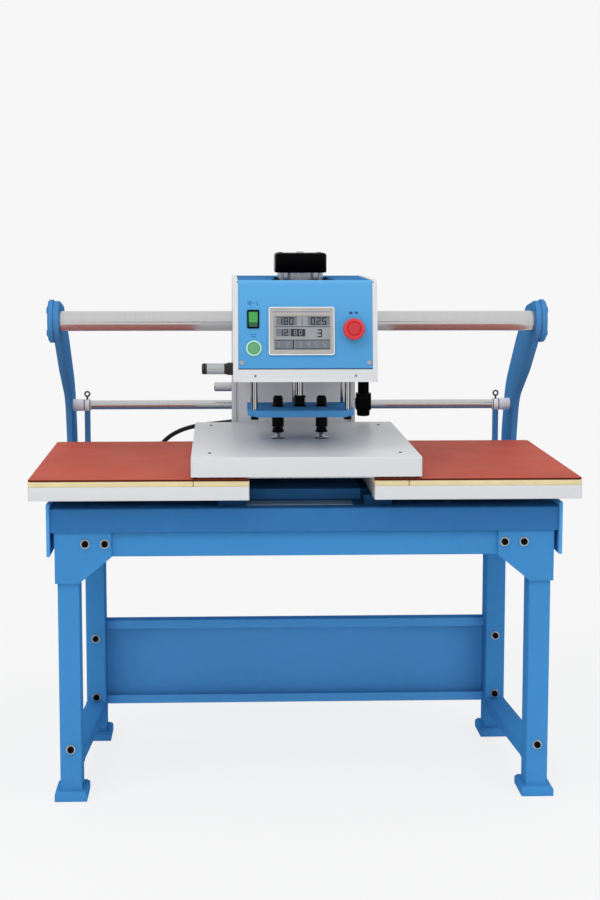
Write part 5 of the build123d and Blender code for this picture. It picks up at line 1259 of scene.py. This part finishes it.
def stage_sheet(name, corners, finish):
    """Flat sheet of the stage with four corners."""
    mesh = bpy.data.meshes.new(name)
    mesh.from_pydata(corners, [], [(0, 1, 2, 3)])
    mesh.materials.append(finish.material)
    made = bpy.data.objects.new(name, mesh)
    bpy.context.collection.objects.link(made)
    return made


class HEATPRESS_OT_stage(PressOperator, bpy.types.Operator):
    """Camera, soft lamps, pale floor and pale surroundings"""

    bl_idname = "heatpress.stage"
    bl_label = "Stage"

    def execute(self, context):
        self.camera(context)
        self.floor()
        self.world(context)
        for name, place, target, size, energy in LAMPS:
            data = bpy.data.lights.new(name, "AREA")
            data.size = size
            data.energy = energy
            lamp = bpy.data.objects.new(name, data)
            lamp.location = place
            lamp.visible_glossy = False
            context.collection.objects.link(lamp)
            ahead = Vector(target) - lamp.location
            lamp.rotation_euler = ahead.to_track_quat("-Z", "Y").to_euler()
        self.flags()
        context.scene.view_settings.view_transform = "Standard"
        return {"FINISHED"}

    def flags(self):
        """Dark flags that only gloss sees, which draw the dark lines in the turned rods."""
        for side in SIDES:
            for near, far in ((0, 11), (50, 120)):
                ends = (radians(side * near), radians(side * far))
                foot, head = ((FLAG_DISTANCE * sin(a), -FLAG_DISTANCE * cos(a)) for a in ends)
                low, high = FLAG_HEIGHTS
                corners = [(*foot, low), (*head, low), (*head, high), (*foot, high)]
                finish = Finish("studio flag", ink(20, 20, 20), 0.9, specular=0.05)
                flag = stage_sheet("studio_flag", corners, finish)
                flag.visible_camera = flag.visible_diffuse = flag.visible_shadow = False

    def camera(self, context):
        data = bpy.data.cameras.new("photo_camera")
        data.sensor_width = 36.0
        data.lens = CAMERA_LENS
        data.clip_end = 60
        yaw, pitch, roll = map(radians, CAMERA_TURN)
        side = Vector((cos(yaw), -sin(yaw), 0))
        ahead = Vector((sin(yaw) * cos(pitch), cos(yaw) * cos(pitch), -sin(pitch)))
        up = side.cross(ahead)
        tilted_side = side * cos(roll) + up * sin(roll)
        tilted_up = up * cos(roll) - side * sin(roll)
        turn = Matrix((tilted_side, tilted_up, -ahead)).transposed().to_4x4()
        made = bpy.data.objects.new("photo_camera", data)
        context.collection.objects.link(made)
        made.matrix_world = Matrix.Translation(CAMERA_PLACE) @ turn
        context.scene.camera = made

    def floor(self):
        signs = ((-1, -1), (1, -1), (1, 1), (-1, 1))
        corners = [(x * FLOOR_HALF, y * FLOOR_HALF, 0) for x, y in signs]
        finish = Finish("studio floor", (0.93, 0.93, 0.93), 0.9, specular=0.05)
        finish.set("Roughness", 0.85 + finish.noise(3.0) * 0.1)
        lit = Value(finish, finish.shader.outputs[0])
        middle = {0: finish.place()}
        away = finish.node("ShaderNodeVectorMath", {"operation": "LENGTH"}, middle, "Value")
        share = 0.86 + away.eased(1.0, 2.6) * 0.14
        finish.backdrop(lit, PALE, "ShaderNodeEmission", share, "Material Output")
        made = stage_sheet("studio_floor", corners, finish)

    def world(self, context):
        world = bpy.data.worlds.new("studio_air")
        world.use_nodes = True
        context.scene.world = world
        air = Nodes(world.node_tree)
        soft = world.node_tree.nodes["Background"]
        soft.inputs["Color"].default_value = (0.98, 0.99, 1.0, 1)
        soft.inputs["Strength"].default_value = 0.70
        lit = Value(air, soft.outputs[0])
        air.backdrop(lit, PALE, "ShaderNodeBackground", 1.0, "World Output")


OPERATORS = (
    HEATPRESS_OT_finishes,
    HEATPRESS_OT_stage,
    HEATPRESS_OT_lead,
    HEATPRESS_OT_steelwork,
    HEATPRESS_OT_boards,
    HEATPRESS_OT_mats,
    HEATPRESS_OT_welds,
    HEATPRESS_OT_bolts,
    HEATPRESS_OT_screws,
    HEATPRESS_OT_nuts,
    HEATPRESS_OT_cylinder_cap,
    HEATPRESS_OT_deck_plate,
    HEATPRESS_OT_rings,
    HEATPRESS_OT_eyes,
    HEATPRESS_OT_display,
    HEATPRESS_OT_switches,
)


class HEATPRESS_PT_sidebar(bpy.types.Panel):
    """Lists the press's steps, colours and sizes"""

    bl_label = "Heat press"
    bl_idname = "HEATPRESS_PT_sidebar"
    bl_space_type = "VIEW_3D"
    bl_region_type = "UI"
    bl_category = "Heat press"

    def draw(self, context):
        for group in (context.scene.heat_press_colours, context.scene.heat_press_sizes):
            box = self.layout.box()
            for name in group.__annotations__:
                box.prop(group, name)
        for operator in OPERATORS:
            self.layout.operator(operator.bl_idname)


CLASSES = (PressColours, PressSizes, *OPERATORS, HEATPRESS_PT_sidebar)


def register():
    for made in CLASSES:
        bpy.utils.register_class(made)
    bpy.types.Scene.heat_press_colours = PointerProperty(type=PressColours)
    bpy.types.Scene.heat_press_sizes = PointerProperty(type=PressSizes)


def unregister():
    del bpy.types.Scene.heat_press_sizes
    del bpy.types.Scene.heat_press_colours
    for made in reversed(CLASSES):
        bpy.utils.unregister_class(made)


def main():
    register()
    for operator in OPERATORS:
        group, name = operator.bl_idname.split(".")
        getattr(getattr(bpy.ops, group), name)()
    bpy.context.view_layer.update()


if __name__ == "__main__":
    main()
